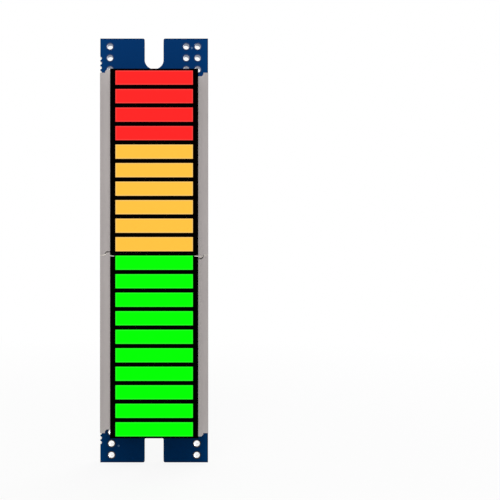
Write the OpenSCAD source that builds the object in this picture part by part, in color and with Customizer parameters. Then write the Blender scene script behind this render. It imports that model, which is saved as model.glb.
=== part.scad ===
// LED level meter module. Two ten-segment displays make one column of twenty segments on the
// front of a narrow circuit board. Their driver circuit, two trimmers and a four-pin connector
// are soldered to the back.
// Frame: +Z runs up the board, the displays face -Y and the soldered parts face +Y.
// The origin is the middle of the board's back face, halfway between the two screw slots.
// Places on the back are written as u and z, as someone who looks at the back sees them:
// u runs to the right there, so it is minus X.

/* [Circuit board] */
// Width of the board
board_w = 18.8; // [18.6:0.1:22]
// Length of the board from end to end
board_l = 74; // [73:0.5:90]
// Thickness of the board
board_t = 1.6; // [1.2:0.1:2]
// Width of the open screw slots, for an M3 screw
slot_w = 3.3; // [2.2:0.1:3.5]
// Depth of each screw slot, from the board's end to its round bottom
slot_depth = 5.35; // [3:0.05:5.8]
// Radius at the mouth corners of the slots
slot_mouth_r = 0.3; // [0.1:0.05:0.5]
// Radius of the bites that the break-off tabs left in one long edge
bite_r = 0.28; // [0.2:0.02:0.35]
// Spacing of those bites
bite_pitch = 0.82; // [0.75:0.01:1]
// Bore of the large plated holes
wire_hole_d = 1.05; // [0.7:0.05:1.2]
// Solder ring around each large plated hole
wire_ring_d = 1.4; // [1.35:0.05:1.5]
// Spacing of the large plated holes
wire_hole_pitch = 2; // [1.8:0.05:2.1]
// Pitch of the empty four-hole header row
header_pitch = 1.5; // [1.3:0.05:1.6]
// Bore of the header holes
header_hole_d = 0.7; // [0.5:0.05:0.8]
// Solder ring around each header hole
header_ring_d = 1.2; // [1:0.05:1.25]

/* [Displays] */
// Length of one display along the board
display_l = 30; // [28:0.5:30.5]
// Width of a display across its shoulders
display_w = 18; // [17:0.1:18.6]
// Height of the shoulders above the board
shoulder_h = 6.3; // [5:0.1:7]
// Width of the raised face
face_w = 14.3; // [14:0.1:15]
// Height of the raised face above the board
face_h = 9.5; // [8.5:0.1:12]
// Thickness of the black face mask
mask_t = 0.25; // [0.15:0.05:0.5]
// Gap between the two displays
display_gap = 0.1; // [0.05:0.05:0.4]
// Width of one segment
segment_w = 12.6; // [11:0.1:13.2]
// Height of one segment
segment_h = 2.35; // [1.8:0.05:2.5]
// Depth of the resin block behind each segment
segment_depth = 3; // [1:0.1:4]
// Depth of the segments below the mask's face
segment_sink = 0.05; // [0:0.01:0.1]
// Red segments, at the top
red_count = 4; // [1:1:4]
// Amber segments, below the red ones
amber_count = 6; // [1:1:6]
// Green segments, in the lower display
green_count = 10; // [2:1:10]
// Height of the locking step at the display's ends
key_h = 0.6; // [0.4:0.05:0.8]
// Width of that step
key_w = 1.25; // [0.8:0.05:1.5]
// Cut across the outer corner of that step, and across the notch that takes it
key_cut = 0.3; // [0.1:0.05:0.35]
// Play between a locking step and the notch that takes it
key_play = 0.05; // [0.02:0.01:0.1]
// Drop of the joint between the displays on both sides of the bars
seam_drop = 0.4; // [0.1:0.05:0.5]
// Pin pitch of a display
led_pin_pitch = 2.54; // [2.4:0.01:2.6]
// Distance between its two pin rows
led_row_gap = 7.62; // [7.5:0.01:7.7]
// Diameter of a display pin
led_pin_d = 0.5; // [0.4:0.05:0.6]
// Diameter of the board hole for a display pin
led_hole_d = 0.8; // [0.65:0.05:0.85]
// Diameter of the solder joint on the back
joint_d = 1.1; // [1:0.05:1.15]
// Height of the solder joint and pin end on the back
joint_h = 1; // [0.7:0.05:1.4]

/* [Driver chips] */
// Body length of the sixteen-lead chips
driver_l = 5; // [4.9:0.1:5.4]
// Body width of the sixteen-lead chips
driver_w = 4.4; // [4.2:0.1:4.6]
// Lead pitch of the sixteen-lead chips
driver_pitch = 0.65; // [0.6:0.01:0.68]
// Tip-to-tip span of the sixteen-lead chips
driver_span = 6.4; // [6.2:0.1:6.6]
// Body length of the eight-lead chips
amp_l = 4.9; // [4.6:0.1:4.95]
// Body width of the eight-lead chips
amp_w = 3.9; // [3.7:0.1:4]
// Lead pitch of the eight-lead chips
amp_pitch = 1.27; // [1.1:0.01:1.3]
// Tip-to-tip span of the eight-lead chips
amp_span = 6; // [5.8:0.1:6.3]

/* [Trimmers] */
// Width of the trimmer body between its side plates
trimmer_w = 4.2; // [4:0.05:4.25]
// Length of the trimmer body along the board
trimmer_l = 4.85; // [4.4:0.05:5]
// Height of the trimmer body
trimmer_h = 2.6; // [2.2:0.1:3.2]
// Distance between the two trimmers
trimmer_pitch = 5.2; // [5.15:0.05:5.3]
// Diameter of the adjuster
rotor_d = 2.55; // [2.2:0.05:3]
// Running gap around the adjuster
rotor_gap = 0.05; // [0.02:0.01:0.1]
// Height of the adjuster
rotor_h = 1.3; // [1:0.05:1.5]
// Width of the screwdriver slot
rotor_slot_w = 0.4; // [0.3:0.05:0.6]
// Depth of the screwdriver slot
rotor_slot_depth = 0.45; // [0.3:0.05:0.7]

/* [Electrolytic capacitor] */
// Diameter of the can
can_d = 6.3; // [6:0.1:6.4]
// Height of the can's top above the board
can_top = 5.4; // [5:0.1:8]
// Side of the square base
base_w = 6.5; // [6.4:0.05:6.6]
// Corner cut of the base on its positive side
base_cut = 1.5; // [1:0.1:1.6]

/* [Connector] */
// Number of contacts
contacts = 4; // [2:1:4]
// Contact pitch
contact_pitch = 2; // [1.8:0.05:2.05]
// Width of the housing
socket_w = 4.9; // [4.7:0.1:5]
// Height of the housing above the board
socket_h = 6; // [5.5:0.1:8]
// Wall of the housing
socket_wall = 0.6; // [0.4:0.05:0.7]
// Side of a square contact
contact_w = 0.5; // [0.4:0.05:0.6]
// Height of the contact tips above the board
contact_top = 4.6; // [3.5:0.1:5.2]

/* [Small parts] */
// Height of the chip resistors
resistor_h = 0.5; // [0.35:0.05:0.6]
// Height of the ceramic chip capacitors
ceramic_h = 0.95; // [0.7:0.05:1.1]
// Height of the tantalum capacitors
tantalum_h = 1.6; // [1.3:0.1:1.8]
// Height of the small transistors
transistor_h = 1; // [0.8:0.05:1.2]
// Thickness of the tinned pads
pad_t = 0.05; // [0.03:0.01:0.08]

/* [Hidden] */
$fn = 48;
side_reach = 1;

// Outer places keep their distance from the long edge, which is edge_inset at edge_u.
// Places up to middle_u from the centre line keep that distance.
edge_inset = 1.4;
edge_u = 8;
middle_u = 4;

// First bite's distance from the board's end, and the number of bites there
bite_start = 3.45;
bites = 4;

// Places of the large plated holes: u, z of the first, and how many run down from it
wire_hole_rows = [[-7.6, 35.6, 3], [-5.6, 35.6, 3], [7.7, 35.6, 3], [-7.45, -31.7, 3], [7.45, -31.7, 3]];
header_z = 28.25;
header_count = 4;
ring_points = [[7.15, 23.25], [-7.8, -19.8], [-6.45, -23.4]];
ring_point_d = 1.25;
ring_point_bore = 0.75;

// Round test pads: u, z, diameter
round_pads = [
  [-3.25, 33.15, 1.4], [2.6, -31.6, 1.3], [6.1, 30.6, 1.1], [7.1, 29.6, 1.1],
  [7.1, 27.8, 1], [8.55, 27.95, 1.15], [7.1, 26.45, 1], [8.7, 26.3, 1.1],
  [7.1, 25.05, 1], [8.6, 24.65, 1.3], [0.5, -11.35, 1.3], [4, -12, 1],
  [7.45, -12.95, 1], [-7.7, -29.45, 1.1]
];

// Bare solder pads of parts that are not fitted: u, z, width, height
bare_pads = [
  [-5.05, 29.8, 1.4, 1.1], [-5.05, 27.45, 1.4, 1.1], [4, 12.95, 0.4, 0.4], [6.55, 12.95, 0.4, 0.4],
  [4.65, 7.05, 0.35, 0.4], [5.35, 7.05, 0.35, 0.4], [5.6, 6.35, 0.35, 0.4], [4.65, 5.7, 0.35, 0.4],
  [5.35, 5.7, 0.35, 0.4], [-4.3, -27.8, 0.45, 0.6], [-3, -27.75, 0.45, 0.6], [-3.7, -29.6, 0.6, 0.45],
  [3.4, -27.5, 0.55, 0.35], [3.4, -28.15, 0.55, 0.35], [3.3, -28.8, 0.55, 0.35], [1.3, -28.1, 0.4, 0.4],
  [2.05, -28.1, 0.4, 0.4]
];
// Two large ones beside the lower left holes: distance from the holes, z, width, height
corner_pads = [[1.58, -31.1, 1.6, 1.65], [1.58, -33.8, 1.6, 1.6]];
corner_row = 3;

// Chip sizes: length, width, end-cap length and the reach of the solder past each end
chip_0402 = [1, 0.5, 0.25, 0.15];
chip_0603 = [1.6, 0.8, 0.35, 0.3];
chip_0805 = [2, 1.25, 0.4, 0.35];
chip_1206 = [3.2, 1.6, 0.5, 0.4];
solder_toe = 0.3;
// Heights of the small and large chips as shares of the stated height, and of a chip's body
// and its solder slope as shares of its metal ends
small_share = 0.8;
large_share = 1.2;
body_share = 0.94;
slope_share = 0.7;

// Chip places: u, z and turn, where 0 lies across the board and 90 along it
small_resistors = [
  [-7.35, 1.6, 0], [-7.35, -0.5, 0], [-8.3, -6.55, 0], [-6.6, -6.55, 0], [-8.3, -9.5, 0],
  [-6.6, -9.5, 0], [5.3, -1.75, 0], [7, -1.75, 0], [4.3, -13.4, 0], [5.95, -13.4, 0],
  [-0.9, -24.6, 0], [0.5, -24.6, 0], [1.9, -24.6, 0], [-0.9, -26.25, 0], [0.5, -26.25, 0],
  [1.9, -26.25, 0], [7, 6.35, 0], [-0.95, -11.45, 0], [2.5, -11.6, 0]
];
resistors = [
  [-8.3, 22.2, 90], [-6.9, 22.2, 90], [4.8, 28.95, 90], [2.45, -3.45, 90], [2.75, -14.2, 90],
  [-7.8, -22.75, 90], [-7.8, -26.05, 90], [-2.3, -22.35, 90], [-0.9, -22.35, 90], [0.5, -22.35, 90],
  [1.9, -22.35, 90], [-2.3, -25.5, 90], [-0.2, 9.15, 0], [5.15, 8.35, 0], [-5.1, 1.8, 0],
  [-5.1, -0.6, 0], [-6.95, -1.9, 0], [-6.95, -3.3, 0], [-6.95, -4.7, 0], [-7.45, -12.75, 0],
  [-7.1, -16.6, 0], [-0.5, -27.8, 0]
];
large_resistors = [
  [-6.75, 28.3, 90], [-8.55, 25.65, 90], [5.7, 11.5, 0], [5.25, 9.8, 0], [8.7, -1.7, 90],
  [8.35, -28, 90]
];
small_ceramics = [[8.6, 6.55, 90], [-7.45, -7.95, 0]];
ceramics = [[-7.45, -11.15, 0], [-7.6, -18.35, 0], [-5.75, -20.9, 90], [5.65, -32.9, 90]];
large_ceramics = [[-5.85, -26.6, 90]];

// Resistor arrays: u, z
array_places = [[-7.4, 18.8], [-7.4, 14.65]];
array_l = 3.4;
array_w = 1.6;
array_pitch = 0.92;
array_ways = 4;
array_toe = 0.55;
array_cap = 0.35;
array_cap_w = 0.5;
array_play = 0.1;

// Tantalum capacitors: u, z, turn
tantalum_places = [[-7.3, 5.1, 90], [8.4, 11.2, 90]];
tantalum_l = 3.2;
tantalum_w = 1.6;
strap_t = 0.15;
strap_w = 1.2;
strap_out = 0.35;
strap_bend = 0.6;

// Small transistors: u, z, turn, body length, body width, lead pitch
transistor_places = [
  [5.05, 24.4, 0, 2, 1.25, 1.3], [-6.35, 25.4, 270, 2, 1.25, 1.3], [7.8, 3.15, 0, 2.8, 1.3, 1.9],
  [6.2, 0.2, 90, 2, 1.25, 1.3], [-6.95, -14.7, 270, 2, 1.25, 1.3]
];
transistor_lead_w = 0.35;
transistor_lead_out = 0.5;
transistor_shoulder = 0.02;

// Rectifier diode
diode_u = 5.95;
diode_z = -28.4;
diode_l = 3.4;
diode_w = 2.1;
diode_h = 1.1;
diode_lead_w = 1.2;
diode_lead_out = 0.45;

// Places of the larger parts
driver_places = [[0.1, 22.55], [0.1, 13.7]];
driver_h = 1;
driver_lead_w = 0.24;
driver_lead_t = 0.13;
driver_leads = 8;
amp_places = [[6.9, 18.05], [-0.7, -6.35], [-0.65, -16.4]];
amp_h = 1.45;
amp_lead_w = 0.42;
amp_lead_t = 0.2;
amp_leads = 4;
amp_bevel = 0.35;
lead_bend = 0.12;
lead_shoulder = 0.1;
dot_inset = 0.7;
dot_d = 0.5;
dot_depth = 0.08;
body_lift = 0.1;
body_draft = 0.12;
trimmer_u = 0.85;
trimmer_mid_z = 3.18;
plate_t = 0.32;
plate_l = 4.6;
plate_h = 2.3;
trimmer_lift = 0.15;
rib_l = 1.7;
rib_w = 0.16;
rib_drop = 0.1;
rotor_turn = 8;
rotor_rim = 0.08;
rotor_drop = 0.05;
rotor_slot_shift = 0.25;
rotor_slot_l = 1.3;
mark_angle = 38;
mark_place = 0.62;
mark_d = 0.28;
mark_depth = 0.2;
terminal_z = 1.25;
terminal_w = 0.5;
terminal_t = 0.3;
left_reach = 1.35;
right_reach = 0.95;
foot_d = 0.8;
foot_t = 0.24;
foot_top = 0.7;
can_u = 5.83;
can_z = -7.2;
can_seat = 0.7;
can_edge_r = 0.5;
can_groove = 0.25;
can_groove_rise = 0.75;
can_groove_half = 0.35;
can_groove_steps = 6;
base_lift = 0.2;
base_h = 1.3;
tab_w = 1;
tab_pad_w = 2.4;
tab_shift = 0.5;
tab_inset = 2.35;
tab_out = 1.05;
tab_pad_inset = 0.3;
lower_tab_shift = 0.35;
lower_tab_inset = 3.05;
lower_tab_out = 0.35;
lower_pad_d = 1.5;
lower_pad_out = 0.25;
socket_u = 6.05;
socket_z = -19.75;
socket_end = 1.95;
socket_floor = 1.2;
socket_notch_w = 0.9;
socket_notch_h = 2.6;
contact_shift = -0.55;
contact_tail_d = 0.75;
contact_tip = 0.35;
contact_tip_share = 0.4;

// Solder joint of a display pin: shares of its height and of its foot's width
joint_climb = 0.7;
joint_foot = 0.85;
pin_taper_start = 0.9;
pin_taper = 0.6;
joint_steps = 4;

// Distance from the raised face's edge to the locking steps
key_offset = 1;

// Values that follow from the ones above
display_mid_z = -0.25;
pin_mid_z = 0;
upper_mid_z = display_mid_z + display_l / 2;
lower_mid_z = display_mid_z - display_l / 2;
upper_pin_z = pin_mid_z + display_l / 2;
lower_pin_z = pin_mid_z - display_l / 2;
body_l = display_l - display_gap;
step_x = face_w / 2 + key_offset;
step_in = step_x - key_w;
notch_in = step_in - key_play;
seam_in = (segment_w / 2 + notch_in) / 2;
upper_pitch = display_l / (red_count + amber_count);
lower_pitch = display_l / green_count;
segment_top = face_h - segment_sink;
slot_centre = board_l / 2 - slot_depth + slot_w / 2;
joint_gap = (joint_d - led_pin_d) / 2;
led_pins = 10;

// On a wider or narrower board the middle stays, what lies beyond edge_u keeps its distance from
// the long edge, and what lies between is spread evenly.
function spread(u) =
  let (share = (abs(u) - middle_u) / (edge_u - middle_u))
  u + sign(u) * (board_w / 2 - edge_inset - edge_u) * min(1, max(0, share));

// Lays something out on the back face: its own x runs along u, its y up the board, its z outwards.
module on_back(u, z, turn = 0) {
  translate([-u, 0, z]) rotate([90, 0, 180]) rotate([0, 0, turn]) children();
}

// The same on the front face, where x runs to the right as someone in front sees it.
module on_front(x, z) {
  translate([x, -board_t, z]) rotate([90, 0, 0]) children();
}

// A round hole through the board at u, z.
module board_hole(u, z, d) {
  translate([-u, side_reach, z]) rotate([90, 0, 0]) cylinder(d = d, h = board_t + 2 * side_reach);
}

// A block that is centred in x and y and stands on z.
module block(l, w, h, z = 0) {
  translate([-l / 2, -w / 2, z]) cube([l, w, h]);
}

function arc(x, y, r, from, to, steps = 3) =
  [for (i = [0:steps]) let (a = from + (to - from) * i / steps) [x + r * cos(a), y + r * sin(a)]];

// A moulded body: two crossed outlines whose sides lean in above and below the parting line.
module moulded_body(l, w, h, lift = body_lift, draft = body_draft) {
  part = lift + (h - lift) / 2;
  intersection() {
    rotate([90, 0, 0]) linear_extrude(w, center = true) drafted_outline(l, lift, part, h, draft);
    rotate([90, 0, 90]) linear_extrude(l, center = true) drafted_outline(w, lift, part, h, draft);
  }
}

module drafted_outline(width, low, part, high, draft) {
  half = width / 2;
  polygon([[-half + draft, low], [half - draft, low], [half, part], [half - draft, high],
    [-half + draft, high], [-half, part]]);
}

// A gull-wing lead that leaves a body at x = 0 and stands on its pad, with solder at its toe.
module gull_lead(reach, rise, w, t, shoulder = lead_shoulder) {
  knee = shoulder + lead_bend;
  heel = knee + t + lead_bend;
  low = pad_t;
  outline = concat(
    [[0, rise + t / 2]],
    arc(shoulder, rise - t / 2 - lead_bend, lead_bend + t, 90, 0),
    arc(heel, low + t + lead_bend, lead_bend, 180, 270),
    [[reach, low + t], [reach + solder_toe, low]],
    arc(heel, low + t + lead_bend, lead_bend + t, 270, 180),
    arc(shoulder, rise - t / 2 - lead_bend, lead_bend, 0, 90),
    [[0, rise - t / 2]]
  );
  rotate([90, 0, 0]) linear_extrude(w, center = true) polygon(outline);
  translate([knee, -w / 2 - pad_t, 0]) cube([reach + solder_toe - knee, w + 2 * pad_t, pad_t]);
}

// Circuit board

module circuit_board() {
  color("#0b3566")
  difference() {
    translate([-board_w / 2, -board_t, -board_l / 2]) cube([board_w, board_t, board_l]);
    for (end = [-1, 1]) {
      screw_slot(end);
      edge_bites(end);
    }
    for (row = wire_hole_rows, i = [0:row[2] - 1])
      board_hole(spread(row[0]), row[1] - i * wire_hole_pitch, wire_hole_d + 2 * pad_t);
    for (i = [0:header_count - 1])
      board_hole(header_u(i), header_z, header_hole_d + 2 * pad_t);
    for (p = ring_points) board_hole(spread(p[0]), p[1], ring_point_bore + 2 * pad_t);
    for (mid = [upper_pin_z, lower_pin_z]) {
      for (i = [0:led_pins - 1]) board_hole(-led_row_gap / 2, led_pin_z(mid, i), led_hole_d);
      for (i = [0, led_pins - 1]) board_hole(led_row_gap / 2, led_pin_z(mid, i), led_hole_d);
    }
    for (i = [0:contacts - 1])
      board_hole(spread(socket_u) + contact_shift, contact_z(i), contact_tail_d);
  }
}

function header_u(i) = (i - (header_count - 1) / 2) * header_pitch;
function led_pin_z(mid, i) = mid + ((led_pins - 1) / 2 - i) * led_pin_pitch;
function contact_z(i) = socket_z + ((contacts - 1) / 2 - i) * contact_pitch;

// An open slot from the board's end to a full round bottom, with eased mouth corners.
module screw_slot(end) {
  translate([0, -board_t - side_reach, end * slot_centre]) rotate([-90, 0, 0])
    cylinder(d = slot_w, h = board_t + 2 * side_reach);
  far = board_l / 2 - slot_centre + side_reach;
  translate([-slot_w / 2, -board_t - side_reach, end > 0 ? slot_centre : -slot_centre - far])
    cube([slot_w, board_t + 2 * side_reach, far]);
  for (side = [-1, 1]) mouth_corner(side, end);
}

module mouth_corner(side, end) {
  r = slot_mouth_r;
  x = slot_w / 2 + (r - side_reach) / 2;
  z = board_l / 2 + (side_reach - r) / 2;
  difference() {
    translate([side * x, -board_t / 2, end * z])
      cube([r + side_reach, board_t + 2 * side_reach, r + side_reach], center = true);
    translate([side * (slot_w / 2 + r), -board_t - 2 * side_reach, end * (board_l / 2 - r)])
      rotate([-90, 0, 0]) cylinder(r = r, h = board_t + 4 * side_reach);
  }
}

// Four half-round bites near each end of one long edge, where the board broke out of its panel.
module edge_bites(end) {
  first = board_l / 2 - bite_start;
  for (i = [0:bites - 1])
    translate([-board_w / 2, side_reach, end * (first - i * bite_pitch)]) rotate([90, 0, 0])
      cylinder(r = bite_r, h = board_t + 2 * side_reach);
}

// The tinned lining of a hole: a barrel through the board and a ring on its back,
// and a thin lip on the front where no display covers it.
module hole_lining(u, z, bore, ring, lip) {
  translate([-u, 0, z]) rotate([90, 0, 0]) difference() {
    union() {
      cylinder(d = bore + 2 * pad_t, h = board_t);
      translate([0, 0, -pad_t]) cylinder(d = ring, h = pad_t);
      if (lip) translate([0, 0, board_t]) cylinder(d = bore + 6 * pad_t, h = pad_t);
    }
    translate([0, 0, -side_reach]) cylinder(d = bore, h = board_t + 2 * side_reach);
  }
}

module plated_holes() {
  color("#cfcfca") {
    for (row = wire_hole_rows, i = [0:row[2] - 1])
      hole_lining(spread(row[0]), row[1] - i * wire_hole_pitch, wire_hole_d, wire_ring_d, true);
    for (i = [0:header_count - 1])
      hole_lining(header_u(i), header_z, header_hole_d, header_ring_d, false);
    for (p = ring_points) hole_lining(spread(p[0]), p[1], ring_point_bore, ring_point_d, false);
  }
}

module test_pads() {
  color("#8d9192") for (p = round_pads) on_back(spread(p[0]), p[1]) cylinder(d = p[2], h = pad_t);
}

module bare_solder_pads() {
  color("#b9bab6") {
    for (p = bare_pads) on_back(spread(p[0]), p[1]) block(p[2], p[3], pad_t);
    for (p = corner_pads)
      on_back(spread(wire_hole_rows[corner_row][0]) + p[0], p[1]) block(p[2], p[3], pad_t);
  }
}

// Displays

// Upper end of a housing. It has a step on one side and a notch on the other, so displays in a row
// lock together, and both have their outer corner cut across. Beside the bars it lies shift higher.
function housing_end(y, shift) =
  let (
    x = display_w / 2,
    side = y + shift,
    key = key_h - key_play,
    notch_x = step_x + key_play,
    notch = [[notch_x, side], [notch_x, side - key_h + key_cut], [notch_x - key_cut, side - key_h],
      [notch_in, side - key_h], [notch_in, side]],
    step = [[-step_in, side], [-step_in, side + key], [-step_x + key_cut, side + key],
      [-step_x, side + key - key_cut], [-step_x, side]]
  )
  concat([[x, side]], notch, jog(y, shift), step, [[-x, side]]);

// Upper end of the raised face.
function face_end(y, shift) =
  concat([[face_w / 2, y + shift]], jog(y, shift), [[-face_w / 2, y + shift]]);

// The middle of an end, which stays level.
function jog(y, shift) =
  shift == 0 ? [] : [[seam_in, y + shift], [seam_in, y], [-seam_in, y], [-seam_in, y + shift]];

// Both ends of a display have the same form, half a turn apart.
module housing_outline(top, bottom) {
  y = body_l / 2;
  polygon(concat(housing_end(y, top), [for (p = housing_end(y, bottom)) -p]));
}

module face_outline(top, bottom) {
  y = body_l / 2;
  polygon(concat(face_end(y, top), [for (p = face_end(y, bottom)) -p]));
}

// Rear housing with shoulders and a raised block, with a well for each segment.
module led_housing(mid, pitch, count, top, bottom) {
  color("#a6a09f")
  difference() {
    on_front(0, mid) union() {
      linear_extrude(shoulder_h) housing_outline(top, bottom);
      translate([0, 0, shoulder_h])
        linear_extrude(face_h - mask_t - shoulder_h) face_outline(top, bottom);
    }
    for (i = [0:count - 1])
      on_front(0, segment_z(mid, pitch, count, i))
        block(segment_w, segment_h, segment_depth + side_reach, segment_top - segment_depth);
  }
}

function segment_z(mid, pitch, count, i) = mid + ((count - 1) / 2 - i) * pitch;

// Black face with one window for each segment.
module face_mask(mid, pitch, count, top, bottom) {
  color("#0a0a0c")
  difference() {
    on_front(0, mid) translate([0, 0, face_h - mask_t])
      linear_extrude(mask_t) face_outline(top, bottom);
    for (i = [0:count - 1])
      on_front(0, segment_z(mid, pitch, count, i)) block(segment_w, segment_h, face_h + side_reach);
  }
}

// One block of coloured resin, which shows as a lit bar.
module segment(mid, pitch, count, i) {
  on_front(0, segment_z(mid, pitch, count, i))
    block(segment_w, segment_h, segment_depth, segment_top - segment_depth);
}

// A display pin in its hole, with the solder that fills the hole and climbs the pin behind.
module soldered_pin(u, z) {
  tip_r = led_pin_d / 2;
  profile = concat(
    [[0, -board_t], [led_hole_d / 2, -board_t], [led_hole_d / 2, 0], [joint_d / 2, 0]],
    [for (i = [0:joint_steps]) let (k = i / joint_steps)
      [tip_r + joint_gap * joint_foot * pow(1 - k, 2), pad_t + k * joint_h * joint_climb]],
    [[tip_r, joint_h * pin_taper_start], [tip_r * pin_taper, joint_h], [0, joint_h]]
  );
  on_back(u, z) rotate_extrude($fn = 24) polygon(profile);
}

module led_pins(mid) {
  color("#d8d8d4") {
    for (i = [0:led_pins - 1]) soldered_pin(-led_row_gap / 2, led_pin_z(mid, i));
    for (i = [0, led_pins - 1]) soldered_pin(led_row_gap / 2, led_pin_z(mid, i));
  }
}

// Driver and amplifier chips

module driver_chip(p) {
  color("#2b2d2f") on_back(spread(p[0]), p[1])
  difference() {
    moulded_body(driver_l, driver_w, driver_h);
    translate([-driver_l / 2 + dot_inset, -driver_w / 2 + dot_inset, driver_h - dot_depth])
      cylinder(d = dot_d, h = side_reach);
  }
}

module chip_leads(p, count, pitch, body_w, span, h, lead_w, lead_t) {
  rise = body_lift + (h - body_lift) / 2;
  color("#d5d5d0") on_back(spread(p[0]), p[1])
  for (turn = [-90, 90], i = [0:count - 1])
    translate([(i - (count - 1) / 2) * pitch, sign(turn) * body_w / 2, 0]) rotate([0, 0, turn])
      gull_lead((span - body_w) / 2, rise, lead_w, lead_t);
}

module driver_chip_leads(p) {
  chip_leads(p, driver_leads, driver_pitch, driver_w, driver_span, driver_h, driver_lead_w, driver_lead_t);
}

// The eight-lead body has one bevelled long edge along the side of its first lead.
module amplifier_chip(p) {
  color("#2b2d2f") on_back(spread(p[0]), p[1])
  difference() {
    moulded_body(amp_l, amp_w, amp_h);
    translate([-amp_l / 2 + body_draft, 0, amp_h]) rotate([0, 45, 0])
      cube([amp_bevel * sqrt(2), amp_w + side_reach, amp_bevel * sqrt(2)], center = true);
  }
}

module amplifier_leads(p) {
  chip_leads(p, amp_leads, amp_pitch, amp_w, amp_span, amp_h, amp_lead_w, amp_lead_t);
}

// Trimmers

function trimmer_z(side) = trimmer_mid_z + side * trimmer_pitch / 2;

module on_trimmer(side) {
  on_back(trimmer_u, trimmer_z(side)) children();
}

// Housing with a well for the adjuster and a narrow rib on each end.
module trimmer_body(side) {
  well_r = rotor_d / 2 + rotor_gap;
  color("#2a2420") on_trimmer(side)
  difference() {
    union() {
      block(trimmer_w, trimmer_l - 2 * rib_w, trimmer_h - trimmer_lift, trimmer_lift);
      block(rib_l, trimmer_l, trimmer_h - trimmer_lift - rib_drop, trimmer_lift);
    }
    translate([0, 0, trimmer_h - rotor_h]) cylinder(r = well_r, h = rotor_h + side_reach);
  }
}

// Adjuster: a disc with a chamfered rim, a screwdriver slot and two pin marks.
module trimmer_rotor(side) {
  r = rotor_d / 2;
  top = rotor_h - rotor_drop;
  color("#d8d2ae") on_trimmer(side) translate([0, 0, trimmer_h - rotor_h])
  rotate([0, 0, -rotor_turn])
  difference() {
    rotate_extrude() polygon([[0, 0], [r, 0], [r, top - rotor_rim], [r - rotor_rim, top], [0, top]]);
    translate([-r * rotor_slot_shift, 0, 0])
      block(rotor_d * rotor_slot_l, rotor_slot_w, side_reach, top - rotor_slot_depth);
    for (a = [-mark_angle, mark_angle])
      rotate([0, 0, a]) translate([r * mark_place, 0, top - mark_depth])
        cylinder(d = mark_d, h = side_reach, $fn = 16);
  }
}

// Two side plates with the terminals that are soldered to the board: two on one side, one opposite.
module trimmer_terminals(side) {
  x = trimmer_w / 2;
  color("#cfccc0") on_trimmer(side) {
    translate([-x - plate_t, 0, 0]) {
      translate([0, -plate_l / 2, trimmer_lift]) cube([plate_t, plate_l, plate_h - trimmer_lift]);
      for (y = [-terminal_z, terminal_z]) translate([0, y, 0]) mirror([1, 0, 0]) terminal(left_reach);
    }
    translate([x, 0, 0]) {
      translate([0, -plate_l / 2, trimmer_lift]) cube([plate_t, plate_l, plate_h - trimmer_lift]);
      translate([plate_t, 0, 0]) round_terminal(right_reach);
    }
  }
}

// A flat terminal: a narrow neck from the side plate and a wider soldered foot.
module terminal(reach) {
  terminal_neck(reach - foot_d);
  translate([reach - foot_d, -foot_d / 2, 0]) cube([foot_d, foot_d, foot_t]);
}

module round_terminal(reach) {
  terminal_neck(reach - foot_d);
  translate([reach - foot_d / 2, 0, 0]) cylinder(d1 = foot_d, d2 = foot_d * foot_top, h = terminal_t);
}

module terminal_neck(reach) {
  translate([-plate_t / 2, -terminal_w / 2, 0]) cube([reach + plate_t, terminal_w, terminal_t]);
}

// Electrolytic capacitor

module base_outline() {
  a = base_w / 2;
  b = a - base_cut;
  polygon([[-a, -a], [a, -a], [a, b], [b, a], [-b, a], [-a, b]]);
}

module capacitor_base() {
  color("#15130f") on_back(spread(can_u), can_z)
  difference() {
    translate([0, 0, base_lift]) linear_extrude(base_h - base_lift) base_outline();
    translate([0, 0, can_seat]) cylinder(d = can_d, h = base_h);
  }
}

// Aluminium can with a rolled top edge and the groove that clamps its rubber seal.
module capacitor_can() {
  r = can_d / 2;
  e = can_edge_r;
  groove_z = base_h + can_groove_rise;
  profile = concat(
    [[0, can_seat], [r, can_seat], [r, groove_z - can_groove_half]],
    [for (i = [1:can_groove_steps - 1]) let (a = i * 180 / can_groove_steps)
      [r - can_groove * sin(a), groove_z - can_groove_half * cos(a)]],
    [[r, groove_z + can_groove_half]],
    arc(r - e, can_top - e, e, 0, 90, 5),
    [[0, can_top]]
  );
  color("#b8b8ba") on_back(spread(can_u), can_z) rotate_extrude($fn = 72) polygon(profile);
}

// Two flat leads that run out from under the base to their pads.
module capacitor_tabs() {
  half = base_w / 2;
  color("#b4b4ae") on_back(spread(can_u), can_z) {
    translate([tab_shift, 0, 0]) {
      translate([-tab_w / 2, half - tab_inset, 0]) cube([tab_w, tab_inset + tab_out, base_lift]);
      translate([-tab_pad_w / 2, half - tab_pad_inset, 0])
        cube([tab_pad_w, tab_pad_inset + tab_out, pad_t]);
    }
    translate([lower_tab_shift, 0, 0]) {
      translate([-tab_w / 2, -half - lower_tab_out, 0])
        cube([tab_w, lower_tab_out + lower_tab_inset, base_lift]);
      translate([0, -half - lower_pad_out, 0]) cylinder(d = lower_pad_d, h = pad_t);
    }
  }
}

// Connector

function socket_l() = (contacts - 1) * contact_pitch + 2 * socket_end;

// Open shroud with a rounded key slot in each end wall.
module connector_housing() {
  color("#e9e6da") on_back(spread(socket_u), socket_z)
  difference() {
    block(socket_w, socket_l(), socket_h);
    block(socket_w - 2 * socket_wall, socket_l() - 2 * socket_wall, socket_h, socket_floor);
    translate([contact_shift, 0, 0]) {
      translate([0, 0, socket_h - socket_notch_h]) rotate([90, 0, 0])
        cylinder(d = socket_notch_w, h = socket_l() + side_reach, center = true);
      block(socket_notch_w, socket_l() + side_reach, socket_h, socket_h - socket_notch_h);
      for (i = [0:contacts - 1])
        translate([0, contact_z(i) - socket_z, 0]) block(contact_w, contact_w, socket_h, -side_reach);
    }
  }
}

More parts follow.
